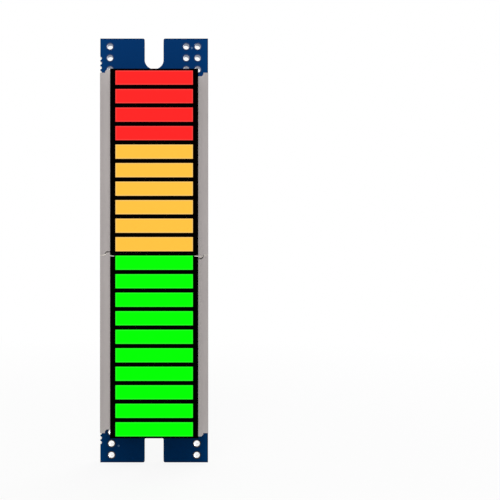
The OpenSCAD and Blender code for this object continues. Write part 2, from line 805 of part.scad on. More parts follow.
// Square contacts with pyramid tips and round soldered tails through the board.
module connector_pins() {
  half = contact_w / 2;
  color("#c9c6bb")
  for (i = [0:contacts - 1]) on_back(spread(socket_u) + contact_shift, contact_z(i)) {
    block(contact_w, contact_w, contact_top - contact_tip);
    intersection() {
      rotate([90, 0, 0]) linear_extrude(contact_w, center = true) tip_outline(half);
      rotate([90, 0, 90]) linear_extrude(contact_w, center = true) tip_outline(half);
    }
    translate([0, 0, -board_t]) cylinder(d = contact_tail_d, h = board_t);
  }
}

module tip_outline(half) {
  low = contact_top - contact_tip;
  end = half * contact_tip_share;
  polygon([[-half, low], [half, low], [end, contact_top], [-end, contact_top]]);
}

// Small soldered parts

module chip_body(size, h) {
  block(size[0] - 2 * size[2], size[1], h * body_share);
}

// Metal ends of a chip, each with the solder that slopes down to its pad.
module chip_caps(size, h) {
  half = size[0] / 2;
  toe = half + size[3];
  inner = half - size[2];
  outline = [[inner, 0], [toe, 0], [toe, pad_t], [half, h * slope_share], [half, h], [inner, h]];
  for (side = [0, 180])
    rotate([0, 0, side]) rotate([90, 0, 0]) linear_extrude(size[1], center = true) polygon(outline);
}

module at_each(places) {
  for (p = places) on_back(spread(p[0]), p[1], p[2]) children();
}

module chip_resistors() {
  color("#1f1f22") {
    at_each(small_resistors) chip_body(chip_0402, resistor_h * small_share);
    at_each(resistors) chip_body(chip_0603, resistor_h);
    at_each(large_resistors) chip_body(chip_0805, resistor_h * large_share);
  }
}

module ceramic_capacitors() {
  color("#a8824f") {
    at_each(small_ceramics) chip_body(chip_0603, ceramic_h * small_share);
    at_each(ceramics) chip_body(chip_0805, ceramic_h);
    at_each(large_ceramics) chip_body(chip_1206, ceramic_h);
  }
}

module chip_end_caps() {
  color("#cfcecb") {
    at_each(small_resistors) chip_caps(chip_0402, resistor_h * small_share);
    at_each(resistors) chip_caps(chip_0603, resistor_h);
    at_each(large_resistors) chip_caps(chip_0805, resistor_h * large_share);
    at_each(small_ceramics) chip_caps(chip_0603, ceramic_h * small_share);
    at_each(ceramics) chip_caps(chip_0805, ceramic_h);
    at_each(large_ceramics) chip_caps(chip_1206, ceramic_h);
    for (p = array_places) on_back(spread(p[0]), p[1]) array_caps();
  }
}

// Four resistors in one body, with a scalloped edge between the terminals.
module resistor_arrays() {
  color("#1f1f22") for (p = array_places) on_back(spread(p[0]), p[1])
  difference() {
    block(array_w, array_l, resistor_h);
    for (side = [-1, 1], i = [0:array_ways - 1])
      translate([side * array_w / 2, (i - (array_ways - 1) / 2) * array_pitch, 0])
        block(2 * array_cap, array_cap_w, side_reach, -array_play);
  }
}

module array_caps() {
  half = array_w / 2;
  outline = [[half - array_cap, 0], [half + array_toe, 0], [half + array_toe, pad_t],
    [half, resistor_h * slope_share], [half, resistor_h], [half - array_cap, resistor_h]];
  for (side = [0, 180], i = [0:array_ways - 1])
    translate([0, (i - (array_ways - 1) / 2) * array_pitch, 0]) rotate([0, 0, side]) rotate([90, 0, 0])
      linear_extrude(array_cap_w, center = true) polygon(outline);
}

module tantalum_capacitors() {
  color("#2c2a28") at_each(tantalum_places) moulded_body(tantalum_l, tantalum_w, tantalum_h);
}

module small_transistors() {
  color("#2a2a2b") for (p = transistor_places)
    on_back(spread(p[0]), p[1], p[2]) moulded_body(p[3], p[4], transistor_h);
}

module rectifier_diode() {
  color("#17171a") on_back(spread(diode_u), diode_z, 90) moulded_body(diode_l, diode_w, diode_h);
}

// Leads of the transistors, tantalum capacitors and diode.
module small_leads() {
  rise = body_lift + (transistor_h - body_lift) / 2;
  color("#d2d1cd") {
    for (p = transistor_places) on_back(spread(p[0]), p[1], p[2]) {
      for (x = [-p[5] / 2, p[5] / 2]) translate([x, p[4] / 2, 0]) rotate([0, 0, 90]) transistor_lead(rise);
      translate([0, -p[4] / 2, 0]) rotate([0, 0, -90]) transistor_lead(rise);
    }
    at_each(tantalum_places) end_straps(tantalum_l, strap_w, tantalum_h / 2, strap_out);
    on_back(spread(diode_u), diode_z, 90) end_straps(diode_l, diode_lead_w, diode_h / 2, diode_lead_out);
  }
}

module transistor_lead(rise) {
  gull_lead(transistor_lead_out, rise, transistor_lead_w, driver_lead_t, transistor_shoulder);
}

// Flat straps that leave both ends at the parting line and fold down to the board.
module end_straps(l, w, rise, out) {
  for (side = [0, 180]) rotate([0, 0, side]) translate([l / 2, 0, 0]) rotate([90, 0, 0])
    linear_extrude(w, center = true)
      polygon([[0, 0], [strap_t + out, 0], [strap_t + out, pad_t], [strap_t, rise * strap_bend],
        [strap_t, rise], [0, rise]]);
}

circuit_board();
plated_holes();
test_pads();
bare_solder_pads();
led_housing(upper_mid_z, upper_pitch, red_count + amber_count, 0, seam_drop);  // upper_led_housing
led_housing(lower_mid_z, lower_pitch, green_count, -seam_drop, 0);  // lower_led_housing
face_mask(upper_mid_z, upper_pitch, red_count + amber_count, 0, seam_drop);  // upper_face_mask
face_mask(lower_mid_z, lower_pitch, green_count, -seam_drop, 0);  // lower_face_mask
led_pins(upper_pin_z);  // upper_led_pins
led_pins(lower_pin_z);  // lower_led_pins
for (i = [1:red_count])
  color("#fe2424") segment(upper_mid_z, upper_pitch, red_count + amber_count, i - 1);
for (i = [1:amber_count])
  color("#ffc142") segment(upper_mid_z, upper_pitch, red_count + amber_count, red_count + i - 1);
for (i = [1:green_count])
  color("#00ff00") segment(lower_mid_z, lower_pitch, green_count, i - 1);
driver_chip(driver_places[0]);  // upper_driver_chip
driver_chip_leads(driver_places[0]);  // upper_driver_leads
driver_chip(driver_places[1]);  // lower_driver_chip
driver_chip_leads(driver_places[1]);  // lower_driver_leads
amplifier_chip(amp_places[0]);  // right_amplifier_chip
amplifier_leads(amp_places[0]);  // right_amplifier_leads
amplifier_chip(amp_places[1]);  // middle_amplifier_chip
amplifier_leads(amp_places[1]);  // middle_amplifier_leads
amplifier_chip(amp_places[2]);  // lower_amplifier_chip
amplifier_leads(amp_places[2]);  // lower_amplifier_leads
trimmer_body(1);  // upper_trimmer_body
trimmer_rotor(1);  // upper_trimmer_rotor
trimmer_terminals(1);  // upper_trimmer_terminals
trimmer_body(-1);  // lower_trimmer_body
trimmer_rotor(-1);  // lower_trimmer_rotor
trimmer_terminals(-1);  // lower_trimmer_terminals
capacitor_base();
capacitor_can();
capacitor_tabs();
connector_housing();
connector_pins();
chip_resistors();
resistor_arrays();
ceramic_capacitors();
tantalum_capacitors();
chip_end_caps();
small_transistors();
rectifier_diode();
small_leads();
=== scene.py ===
import math

import bmesh
import bpy
from mathutils import Matrix, Vector


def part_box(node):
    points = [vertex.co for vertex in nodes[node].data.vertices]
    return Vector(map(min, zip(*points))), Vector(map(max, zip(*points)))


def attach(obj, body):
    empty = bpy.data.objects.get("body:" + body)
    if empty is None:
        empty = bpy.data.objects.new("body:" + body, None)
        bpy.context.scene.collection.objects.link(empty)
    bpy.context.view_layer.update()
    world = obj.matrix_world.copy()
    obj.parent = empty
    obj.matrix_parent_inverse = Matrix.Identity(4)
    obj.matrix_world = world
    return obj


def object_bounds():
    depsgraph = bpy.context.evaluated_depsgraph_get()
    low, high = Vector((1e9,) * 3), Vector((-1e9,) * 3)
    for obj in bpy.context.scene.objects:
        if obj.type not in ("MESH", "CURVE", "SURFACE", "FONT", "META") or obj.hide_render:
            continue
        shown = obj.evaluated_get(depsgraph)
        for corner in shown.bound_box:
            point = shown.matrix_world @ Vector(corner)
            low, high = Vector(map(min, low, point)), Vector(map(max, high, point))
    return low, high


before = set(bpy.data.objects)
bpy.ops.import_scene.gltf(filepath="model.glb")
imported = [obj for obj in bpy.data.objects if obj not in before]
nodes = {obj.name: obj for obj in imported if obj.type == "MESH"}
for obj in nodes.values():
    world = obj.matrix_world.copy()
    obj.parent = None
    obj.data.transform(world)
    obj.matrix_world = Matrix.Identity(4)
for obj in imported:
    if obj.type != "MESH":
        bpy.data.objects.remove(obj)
cad_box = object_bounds()
MM = 0.001


def in_mm(corners):
    return [[round(c / MM, 2) for c in corner] for corner in corners]


def add_object(name, data):
    made = bpy.data.objects.new(name, data)
    bpy.context.scene.collection.objects.link(made)
    return made


print("nodes:", len(nodes), "box in mm:", in_mm(cad_box))

# %% [markdown]
# ## The camera
#
# The photograph was taken square on and close, so the raised face of the bars looks larger than
# the board behind it. Turning the camera towards the object would make its upright edges lean.
# Shifting the lens keeps them upright, as an architect's camera does: the camera looks straight
# along +Y and the shift moves the picture to the left half of the frame.
# %% Set up the camera
camera_data = bpy.data.cameras.new("bench_camera")
camera_data.sensor_width = 36
camera_data.lens = 54.23
camera_data.shift_x = 0.1917
camera_data.shift_y = -0.0369
camera_data.clip_start = 0.005
camera_data.clip_end = 20
camera = add_object("bench_camera", camera_data)
camera.location = Vector((0, -133.1, 3.3)) * MM
camera.rotation_euler = (math.radians(90), 0, 0)
bpy.context.scene.camera = camera
bpy.context.scene.view_settings.view_transform = "Standard"
print("camera at", in_mm([camera.location]), "mm, lens", camera_data.lens)


# %% [markdown]
# ## Shader maths as plain sums
#
# A procedural finish is a small calculation: the place on the piece becomes a pattern, and the
# pattern a colour. One class wraps the output of a node, so that `1 - mask` or `mask * 0.5` adds
# its own Math node. Any other node comes from `node`, which takes its type, settings and sockets.
# %% A signal is one output of a shader node
def maths(operation, swapped=False):
    """A method that joins two signals, or a signal and a number, in one Math node."""
    if swapped:
        return lambda self, other: self.math(operation, other, self)
    return lambda self, other: self.math(operation, self, other)


class Signal:
    def __init__(self, tree, socket=None):
        self.tree = tree
        self.socket = socket

    def node(self, kind, settings=None, sockets=None, output=0):
        made = self.tree.nodes.new("ShaderNode" + kind)
        for name, value in (settings or {}).items():
            setattr(made, name, value)
        for name, value in (sockets or {}).items():
            if isinstance(value, Signal):
                self.tree.links.new(value.socket, made.inputs[name])
            else:
                made.inputs[name].default_value = value
        return Signal(self.tree, made.outputs[output])

    def math(self, operation, first, second=0.0, third=0.0):
        return self.node("Math", {"operation": operation}, {0: first, 1: second, 2: third})

    __add__ = __radd__ = maths("ADD")
    __mul__ = __rmul__ = maths("MULTIPLY")
    __sub__, __rsub__ = maths("SUBTRACT"), maths("SUBTRACT", swapped=True)
    __truediv__, __rtruediv__ = maths("DIVIDE"), maths("DIVIDE", swapped=True)
    __gt__, __lt__ = maths("GREATER_THAN"), maths("LESS_THAN")

    def __abs__(self):
        return self.math("ABSOLUTE", self)


print("signals ready")


# %% [markdown]
# ## Starting a finish
#
# Every finish begins with a Principled shader, its constant values on its own sockets, and the
# place on the piece in millimetres. All pieces of the frame have their origin at the world origin,
# so one place means the same spot on each.
# %% Begin a finish, wear a finish
def start_finish(name, specular, **constants):
    material = bpy.data.materials.new(name)
    material.use_nodes = True
    shader = material.node_tree.nodes["Principled BSDF"]
    shader.inputs["Specular IOR Level"].default_value = specular
    for socket, value in constants.items():
        shader.inputs[socket.replace("_", " ")].default_value = value
    start = Signal(material.node_tree)
    place = start.node("TexCoord", output=3)
    place = place.node("VectorMath", {"operation": "SCALE"}, {0: place, "Scale": 1 / MM})
    return material, shader, place


def feed(shader, socket, signal):
    signal.tree.links.new(signal.socket, shader.inputs[socket])


def paint(shader, colour):
    feed(shader, "Base Color", colour)


def wear(material, *names):
    for name in names:
        slots = nodes[name].data.materials
        slots.clear()
        slots.append(material)
    print(material.name, "on", len(names), "nodes")


print("nodes waiting for a finish:", len(nodes))


# %% [markdown]
# A few short tools do most of the work. `grain` is cloudy noise, `band` and `fade` turn a distance
# into a mask with hard or soft edges, and `tint` lays one colour over another through a mask.
# Colours are written as a screen shows them, from 0 to 255, and turned into linear light.
# %% Patterns, masks and colours
def rgb(red, green, blue):
    """A colour read off a screen, as the linear light that shaders work in."""
    shares = [c / 255 for c in (red, green, blue)]
    return tuple(c / 12.92 if c < 0.0432 else ((c + 0.055) / 1.055) ** 2.4 for c in shares)


def tint(mask, low, high):
    """Mix two colours, either of which may be a signal, by a mask from 0 to 1."""
    low = low if isinstance(low, Signal) else (*low, 1)
    high = high if isinstance(high, Signal) else (*high, 1)
    return mask.node("Mix", {"data_type": "RGBA"}, {0: mask, 6: low, 7: high}, output=2)


def grain(place, per_mm, detail=2.0, roughness=0.5):
    """Soft cloudy noise with about that many blotches to the millimetre."""
    sockets = {"Vector": place, "Scale": per_mm, "Detail": detail, "Roughness": roughness}
    return place.node("TexNoise", {"noise_dimensions": "3D"}, sockets)


def stretched(place, *factors):
    """The same place with each axis scaled: a small factor draws noise out along that axis."""
    return place.node("VectorMath", {"operation": "MULTIPLY"}, {0: place, 1: factors})


def band(value, low, high):
    """1 between two values and 0 outside them."""
    return (value > low) * (value < high)


def fade(value, start, end, first=0.0, last=1.0):
    """Go evenly from first to last while the value goes from start to end, and stay there."""
    ends = {0: value, 1: start, 2: end, 3: first, 4: last}
    return value.node("MapRange", {"clamp": True}, ends)


def parts(vector):
    return [vector.node("SeparateXYZ", sockets={0: vector}, output=axis) for axis in range(3)]


def facing(place):
    """The direction that the surface faces in, as three signals."""
    return parts(place.node("NewGeometry", output=1))


def relief(shader, height, depth_mm=0.01, strength=0.5):
    sockets = {"Height": height, "Distance": depth_mm * MM, "Strength": strength}
    feed(shader, "Normal", height.node("Bump", sockets=sockets))


def clouded(name, per_mm, rough, spread, specular=0.2, detail=3.0):
    """A finish that is rougher by up to spread where its own cloud, the last result, is light."""
    material, shader, place = start_finish(name, specular)
    cloud = grain(place, per_mm, detail)
    feed(shader, "Roughness", rough + cloud * spread)
    return material, shader, place, cloud


print("mid grey 128 is", round(rgb(128, 128, 128)[0], 3), "in linear light")

# %% [markdown]
# ## Resin light bars
#
# Each bar is clear epoxy with dye and white filler, cast into a well of the housing, and all twenty
# are lit. Emission carries six tenths of the colour, and the room's light on the surface the rest.
# Along the well's wall the resin scatters more white, which leaves a thin paler rim, and a hair's
# width right at the wall is painted shade. The rim is the distance to the bar's edge, worked out
# from the pitch of the bars, so one finish serves a column.
# %% Cast resin for the bars
OWN_LIGHT = 0.62
BAR_PITCH = 3.0
BAR_HALF_WIDTH = 6.3
BAR_HALF_HEIGHT = 1.175
WALL_SHADE = 0.035


def box_mm(name):
    """A node's lowest corner, middle and highest corner, in millimetres."""
    low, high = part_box(name)
    return low / MM, (low + high) / 2 / MM, high / MM


def off_nearest(place, value, middle, pitch):
    """How far a value is from the nearest middle of a row, counted from 50 places before it."""
    return place.math("PINGPONG", value - (middle - 50 * pitch), pitch / 2)


def dim(colour, share):
    return tuple(c * share for c in colour)


def cast_resin(name, core, rim):
    material, shader, place = start_finish(name, 0.03, Roughness=0.5, IOR=1.5)
    x, _, z = parts(place)
    from_row = off_nearest(place, z, box_mm("red_segment_1")[1].z, BAR_PITCH)
    nearest = place.math("MINIMUM", BAR_HALF_WIDTH - abs(x), BAR_HALF_HEIGHT - from_row)
    haze = fade(nearest, 0.03, 0.24, 1.0, 0.0) + (grain(place, 1.3, 3.0) - 0.5) * 0.05
    # A hair's width along the well's wall is painted shade, a tenth of the colour.
    joint = nearest < WALL_SHADE
    feed(shader, "Emission Color", tint(joint, tint(haze, core, rim), dim(core, 0.1)))
    shader.inputs["Emission Strength"].default_value = OWN_LIGHT
    skin = tint(haze, dim(core, 1 - OWN_LIGHT), dim(rim, 1 - OWN_LIGHT))
    paint(shader, tint(joint, skin, dim(core, 0.1)))
    relief(shader, grain(place, 6.0), 0.004, 0.3)
    return material


bars = [
    ("red", 4, rgb(254, 36, 36), rgb(255, 74, 70)),
    ("amber", 6, rgb(255, 193, 66), rgb(255, 208, 120)),
    ("green", 10, rgb(0, 255, 0), rgb(46, 255, 46)),
]
for hue, count, core, rim in bars:
    resin = cast_resin(hue + "_resin_lit", core, rim)
    wear(resin, *[f"{hue}_segment_{number}" for number in range(1, count + 1)])

# %% [markdown]
# ## Black face and grey housing
#
# The face round the bars is screen printed matt black ink, which has no shine. The housing is glass
# filled plastic with a fine sandy skin from its mould. The skin is noise in the bump, finer than
# the picture can resolve, which still takes the hard edge off every highlight.
# %% Black ink and moulded grey
face_ink, shader, place = start_finish("face_ink", 0.0, Roughness=1.0)
ink_black = tint(grain(place, 2.0, 4.0), (0.0002, 0.0002, 0.0002), (0.0010, 0.0008, 0.0008))
paint(shader, ink_black)
relief(shader, grain(place, 14.0), 0.006, 0.4)
wear(face_ink, "upper_face_mask", "lower_face_mask")

housing_grey, shader, place, speck = clouded("housing_grey", 9.0, 0.55, 0.15, 0.25)
flow = grain(stretched(place, 1.0, 1.0, 0.12), 0.9, 4.0)
colour = tint(flow, rgb(160, 154, 153), rgb(172, 166, 165))
colour = tint((speck - 0.45) * 0.35, colour, rgb(140, 134, 132))
# Painted light: the grey is lighter beside the raised face, where the face would shade it.
painted_light_beside_face = fade(abs(parts(place)[0]), 7.3, 8.6, 0.55, 0.0)
paint(shader, tint(painted_light_beside_face, colour, rgb(192, 186, 184)))
relief(shader, speck, 0.012, 0.6)
wear(housing_grey, "upper_led_housing", "lower_led_housing")

# %% [markdown]
# ## Solder mask over woven glass
#
# The board is glass cloth in yellowish epoxy, with copper on both faces under a thin blue varnish.
# The blue is lighter over copper. It is also painted darker where parts crowd it, as painted shade,
# and lighter towards the top and along the long edges, as painted light. The edges are cut bare, so
# they show the layers of cloth, and where bites were broken out of them the torn fibres are white.
# One finish does all of it: the depth through the board tells faces from cut edges, cloudy noise
# gives the copper areas, and two crossed waves give the cloth its faint weave.
# %% Blue varnish, bare edges
THICKNESS = 1.6
HALF_WIDTH, HALF_HEIGHT = cad_box[1].x / MM, cad_box[1].z / MM

varnish, shader, place = start_finish("blue_solder_mask", 0.01)
x, y, z = parts(place)
to_side, to_end = HALF_WIDTH - abs(x), HALF_HEIGHT - abs(z)
cut_edge = band(y, 0.03 - THICKNESS, -0.03)
outline = place.math("MINIMUM", to_side, to_end) < 0.15
torn = band(to_side, 0.015, 0.4) * (to_end > 0.1)
weave = place.math("SINE", x * 12.5) * place.math("SINE", z * 12.5)
pour = fade(grain(place, 0.16, 3.0), 0.44, 0.58)
fine = grain(place, 5.0, 4.0)
painted_shade_among_parts = fade(place.math("MINIMUM", 9.0 - abs(x), 30.3 - abs(z + 0.8)), 0.0, 3.5)

# Painted light and shade: lighter to the top and the long edges, darker among the parts.
blue = tint(fade(z, -34.0, 34.0), rgb(0, 40, 80), rgb(0, 47, 98))
blue = tint(fade(abs(x), 7.6, 9.3, 0.0, 0.35), blue, rgb(0, 62, 118))
blue = tint(painted_shade_among_parts * (0.96 - pour * 0.3), blue, rgb(17, 25, 43))
blue = tint((fine - 0.5) * 0.4 + weave * 0.03 + (1 - painted_shade_among_parts) * 0.06, blue, rgb(0, 58, 116))
blue = tint(outline * 0.55, blue, (0.0, 0.007, 0.03))
layers = place.math("SINE", y * 31.0) * 0.5 + 0.5
fibre = tint(layers, (0.32, 0.30, 0.16), (0.56, 0.51, 0.30))
fibre = tint((fine - 0.4) * 0.8, fibre, (0.10, 0.12, 0.10))
fibre = tint(torn * 0.9, fibre, (0.90, 0.90, 0.88))
paint(shader, tint(cut_edge, blue, fibre))
feed(shader, "Roughness", 0.28 + cut_edge * 0.5 + fine * 0.06)
relief(shader, weave * 0.35 + pour * 0.8 + fine * 0.3, 0.010, 0.5)
wear(varnish, "circuit_board")

# %% [markdown]
# ## Metals
#
# Solder and tin are mirrors with a skin. In even light a mirror shows plain white and looks like
# paper. In a real room it shows bright windows beside dark corners, so small joints read as sharp
# glints next to nearly black patches. Here that contrast is painted into the metal's colour: noise
# with a steep ramp between a dark and a bright tin gives painted glints and painted dark
# reflections. Stretched along one direction, its blotches become painted streaks that run along a
# bent lead.
# %% Tarnished metal
def metal_finish(name, dark, bright, per_mm, ramp=(0.42, 0.58), stretch=(1, 1, 1), rough=0.3):
    material, shader, place = start_finish(name, 0.5, Metallic=1.0)
    cloud = grain(stretched(place, *stretch), per_mm, 3.0, 0.6)
    # The glints and the dark patches are painted reflections.
    glints = fade(cloud, *ramp)
    feed(shader, "Roughness", rough + (1 - glints) * 0.2)
    relief(shader, cloud, 0.03, 0.6)
    return material, shader, place, tint(glints, dark, bright)


tones = (0.035, 0.030, 0.026), (0.92, 0.91, 0.88)
cap_solder, shader, place, colour = metal_finish("cap_solder", *tones, 1.5, (0.43, 0.53))
x, _, z = parts(place)
dull = (x < -7.6) * band(z, -30.0, -24.0)
paint(shader, tint(dull * 0.8, colour, (0.07, 0.055, 0.05)))
wear(cap_solder, "chip_end_caps")

tones = (0.12, 0.115, 0.11), (0.72, 0.70, 0.66)
tin_plate, shader, place, colour = metal_finish("tin_plate", *tones, 1.8, (0.48, 0.60))
paint(shader, tint(parts(place)[2] < -9.0, colour, (0.075, 0.078, 0.065)))
wear(tin_plate, "capacitor_tabs")

# %% [markdown]
# A display pin ends in a small dome of solder. All of them face the same window, so each one is
# bright on the same side and dark on the other. The direction the surface faces in tells which.
# %% Domes with one bright side
tones = (0.34, 0.32, 0.31), (0.96, 0.95, 0.94)
dome_solder, shader, place, colour = metal_finish("dome_solder", *tones, 1.2, (0.36, 0.46))
sideways, _, upwards = facing(place)
lit_side = fade(sideways + upwards * 0.3, -0.62, -0.12)
ridge = fade(abs(upwards), 0.35, 0.85, 1.0, 0.0)
paint(shader, tint(lit_side * ridge, (0.085, 0.085, 0.10), colour))
shader.inputs["Metallic"].default_value = 0.5
wear(dome_solder, "upper_led_pins", "lower_led_pins")


# %% [markdown]
# A chip's lead leaves the body level, turns down and ends in a flat foot. Solder climbs both sides
# of the foot and leaves a groove along its middle, which is painted darker as a dark reflection;
# one side of each foot gets a painted highlight and the other painted shade. The steep part only
# sees the dark board, and the level shoulder is a dimmer dot beside the body. The height above the
# board tells the three apart, and the pitch of the leads, wrapped round, finds each groove.
# %% Bent leads
def lead_finish(name, pitch, half_width, foot_top, knee_top, shoulder, groove_darkness):
    tones = (0.26, 0.24, 0.22), (0.92, 0.90, 0.88)
    settings = 2.6, (0.36, 0.60), (1.4, 1.0, 0.4)
    material, shader, place, colour = metal_finish(name + "_tin", *tones, *settings)
    x, height, _ = parts(place)
    off_row = x - box_mm(name)[1].x
    across = (place.math("WRAP", off_row, pitch, 0.0) - pitch / 2) / half_width
    # Painted: a dark reflection in the groove, a highlight on one side, shade on the other.
    groove = fade(abs(across + 0.2), 0.10, 0.45, 1.0, 0.0)
    colour = tint((across > 0.15) * 0.45, colour, (0.95, 0.93, 0.92))
    colour = tint((across < -0.35) * 0.45, colour, (0.20, 0.20, 0.22))
    colour = tint(groove * groove_darkness, colour, (0.05, 0.045, 0.05))
    colour = tint(height > knee_top, colour, shoulder)
    paint(shader, tint(band(height, foot_top, knee_top), colour, (0.03, 0.03, 0.032)))
    wear(material, name)


FINE_LEADS = 0.65, 0.21, 0.19, 0.60
COARSE_LEADS = 1.27, 0.31, 0.26, 0.84
for name in ("upper_driver_leads", "lower_driver_leads"):
    lead_finish(name, *FINE_LEADS, (0.13, 0.135, 0.13), 0.5)
for name in ("middle_amplifier_leads", "lower_amplifier_leads"):
    lead_finish(name, *COARSE_LEADS, (0.20, 0.20, 0.20), 0.9)
lead_finish("right_amplifier_leads", *COARSE_LEADS, (0.58, 0.58, 0.56), 0.9)

# %% [markdown]
# The transistors, the tantalum blocks and the diode have shorter leads, with the same dark bend.
# Those beside the connector stand in its shade.
# %% Short leads
tones = (0.07, 0.06, 0.06), (0.90, 0.88, 0.86)
small_tin, shader, place, colour = metal_finish("small_lead_tin", *tones, 2.6, (0.40, 0.54))
x, height, z = parts(place)
by_connector = (x < -4.0) * band(z, -27.2, -25.0)
colour = tint(by_connector * 0.85, colour, (0.06, 0.055, 0.05))
paint(shader, tint(band(height, 0.19, 0.45), colour, (0.035, 0.035, 0.038)))
wear(small_tin, "small_leads")


# %% [markdown]
# Pads without a part are of two kinds. The round test pads are a flat, dull grey brown, and two of
# them are painted much brighter. The rectangular ones carry a low mound of solder, painted white at
# its corners and dark in its middle, as painted glints and painted dark reflection, so each large
# pad gets its own measure of how far a place lies towards the corners. The lower two are darker and
# more ragged.
# %% Pads
def disc(x, z, pad_u, pad_z, radius):
    along, up = x + pad_u, z - pad_z
    return (along * along + up * up) < radius * radius


tones = (0.07, 0.068, 0.075), (0.17, 0.162, 0.165)
dull_tin, shader, place, colour = metal_finish("dull_tin", *tones, 1.1, (0.35, 0.65), rough=0.45)
x, _, z = parts(place)
# Two pads are painted much brighter.
colour = tint(disc(x, z, 7.1, 29.6, 0.5), colour, (0.86, 0.86, 0.82))
colour = tint(disc(x, z, 8.85, 26.2, 0.38), colour, (0.62, 0.62, 0.52))
paint(shader, colour)
wear(dull_tin, "test_pads")


def over_pad(x, z, pad_u, pad_z, half_w, half_h):
    """The place as shares of a pad's half width and half height, and a mask of the pad."""
    across, up = abs(x + pad_u) / half_w, abs(z - pad_z) / half_h
    return across, up, (across < 1.05) * (up < 1.05)


tones = (0.30, 0.29, 0.28), (0.92, 0.91, 0.89)
mound, shader, place, colour = metal_finish("solder_mound", *tones, 2.4, (0.36, 0.50))
x, _, z = parts(place)
ragged = grain(place, 2.0) - 0.5
# Painted glints at each mound's corners, and painted dark reflection in its middle.
for pad_z in (29.8, 27.45):
    across, up, here = over_pad(x, z, -5.05, pad_z, 0.7, 0.55)
    corners = fade(across * up + ragged * 0.5, 0.12, 0.34)
    colour = tint(here, colour, tint(corners, (0.05, 0.045, 0.045), (0.94, 0.93, 0.92)))
for pad_z in (-31.1, -33.8):
    across, up, here = over_pad(x, z, -5.87, pad_z, 0.8, 0.82)
    corners = fade((across * across + up * up) * 0.3 + ragged * 1.6, 0.16, 0.46)
    colour = tint(here, colour, tint(corners, (0.022, 0.018, 0.018), (0.22, 0.21, 0.17)))
paint(shader, colour)
wear(mound, "bare_solder_pads")

# %% [markdown]
# The connector's contacts stand in the shade of their well, and their tin is painted nearly the
# beige of its floor, a painted reflection of it. What one sees is the small dark point in the
# middle of each tip. The points repeat along the connector, so the distance to the nearest one is a
# folded height.
# %% Contacts
CONTACT_PITCH = 2.0
# The contacts' beige is a painted reflection of the well's floor.
tones = (0.40, 0.37, 0.28), (0.62, 0.58, 0.45)
contact, shader, place, colour = metal_finish("contact_tin", *tones, 2.0)
x, y, z = parts(place)
middle = box_mm("connector_pins")[1]
off_point = CONTACT_PITCH / 2 - off_nearest(place, z, middle.z, CONTACT_PITCH)
point = (abs(x - middle.x) < 0.13) * (off_point < 0.15) * (y > 1.0)
paint(shader, tint(point, colour, (0.006, 0.006, 0.005)))
feed(shader, "Metallic", 0.1 - point * 0.1)
wear(contact, "connector_pins")

# %% [markdown]
# ## Hole linings
#
# A plated hole is one metal tube with several finishes. On the back its ring is bare dull tin. The
# open bores are bright at the board's bottom end. At its top end they are painted dull blue, and at
# their mouths darker, both painted shade, and those that end on a display are painted dark
# throughout, as painted shade. On the front the varnish laps over the rings at the top end, and
# leaves a thin brown line of bare metal at the bottom end. The depth through the board and the
# height on it pick the finish.
# %% Rings, bores and varnished rings
CORNER_HOLES = 31.0
ring, shader, place = start_finish("hole_lining", 0.2)
_, y, z = parts(place)
cloud = grain(place, 1.2, 4.0)
bore = band(y, -THICKNESS, -0.02)
open_hole = abs(z) > CORNER_HOLES
top_end = z > 0.0
inside = fade(place.math("MINIMUM", 0.0 - y, y + THICKNESS), 0.0, 0.2)
tin = tint(cloud, (0.075, 0.070, 0.055), (0.20, 0.19, 0.16))
# Painted shade: the mouths, a hole that ends on a display, and the walls at the top end.
mouth_shade = tint(cloud, (0.012, 0.012, 0.014), (0.03, 0.03, 0.034))
mouth_shade = tint(top_end * open_hole, mouth_shade, (0.01, 0.04, 0.11))
wall = tint(top_end, (0.93, 0.93, 0.92), (0.045, 0.080, 0.17))
lining = tint(open_hole * inside, mouth_shade, wall)
lapped = tint(top_end, rgb(64, 56, 52), rgb(0, 40, 86))
paint(shader, tint(y < -THICKNESS, tint(bore, tin, lining), lapped))
feed(shader, "Metallic", (y > -0.02) * 0.9 + bore * open_hole)
feed(shader, "Roughness", 0.34 + cloud * 0.2 - bore * 0.15)
relief(shader, grain(place, 3.0), 0.02, 0.5)
wear(ring, "plated_holes")


# %% [markdown]
# ## Chips and other moulded parts
#
# Chip bodies are black epoxy, ground matt by its glass filler: dark grey and never black, a little
# lighter where light rakes over the filler. The finish takes a base grey and adds filler specks and
# a faint cloud. It serves the chips, the diode, the transistors, the capacitor's base and the brown
# blocks of the trimmers.
# %% Filled epoxy
def filled_epoxy(name, grey, speck_grey, rough, specular):
    material, shader, place, cloud = clouded(name, 0.7, rough, 0.12, specular)
    speck = grain(place, 16.0)
    colour = tint((speck - 0.42) * 1.6, grey, speck_grey)
    paint(shader, tint(cloud * 0.25, colour, speck_grey))
    relief(shader, speck, 0.01, 0.7)
    return material


chip_epoxy = filled_epoxy("chip_epoxy", rgb(13, 14, 15), rgb(40, 41, 42), 0.49, 0.15)
small_epoxy = filled_epoxy("small_part_epoxy", rgb(10, 8, 8), rgb(46, 38, 32), 0.39, 0.12)
base_plastic = filled_epoxy("base_plastic", rgb(10, 10, 10), rgb(32, 31, 30), 0.44, 0.12)
trimmer_brown = filled_epoxy("trimmer_brown", rgb(16, 12, 9), rgb(52, 44, 37), 0.39, 0.15)
wear(chip_epoxy, *[name for name in nodes if name.endswith("_chip")])
wear(small_epoxy, "small_transistors", "rectifier_diode")
wear(base_plastic, "capacitor_base")
wear(trimmer_brown, "upper_trimmer_body", "lower_trimmer_body")

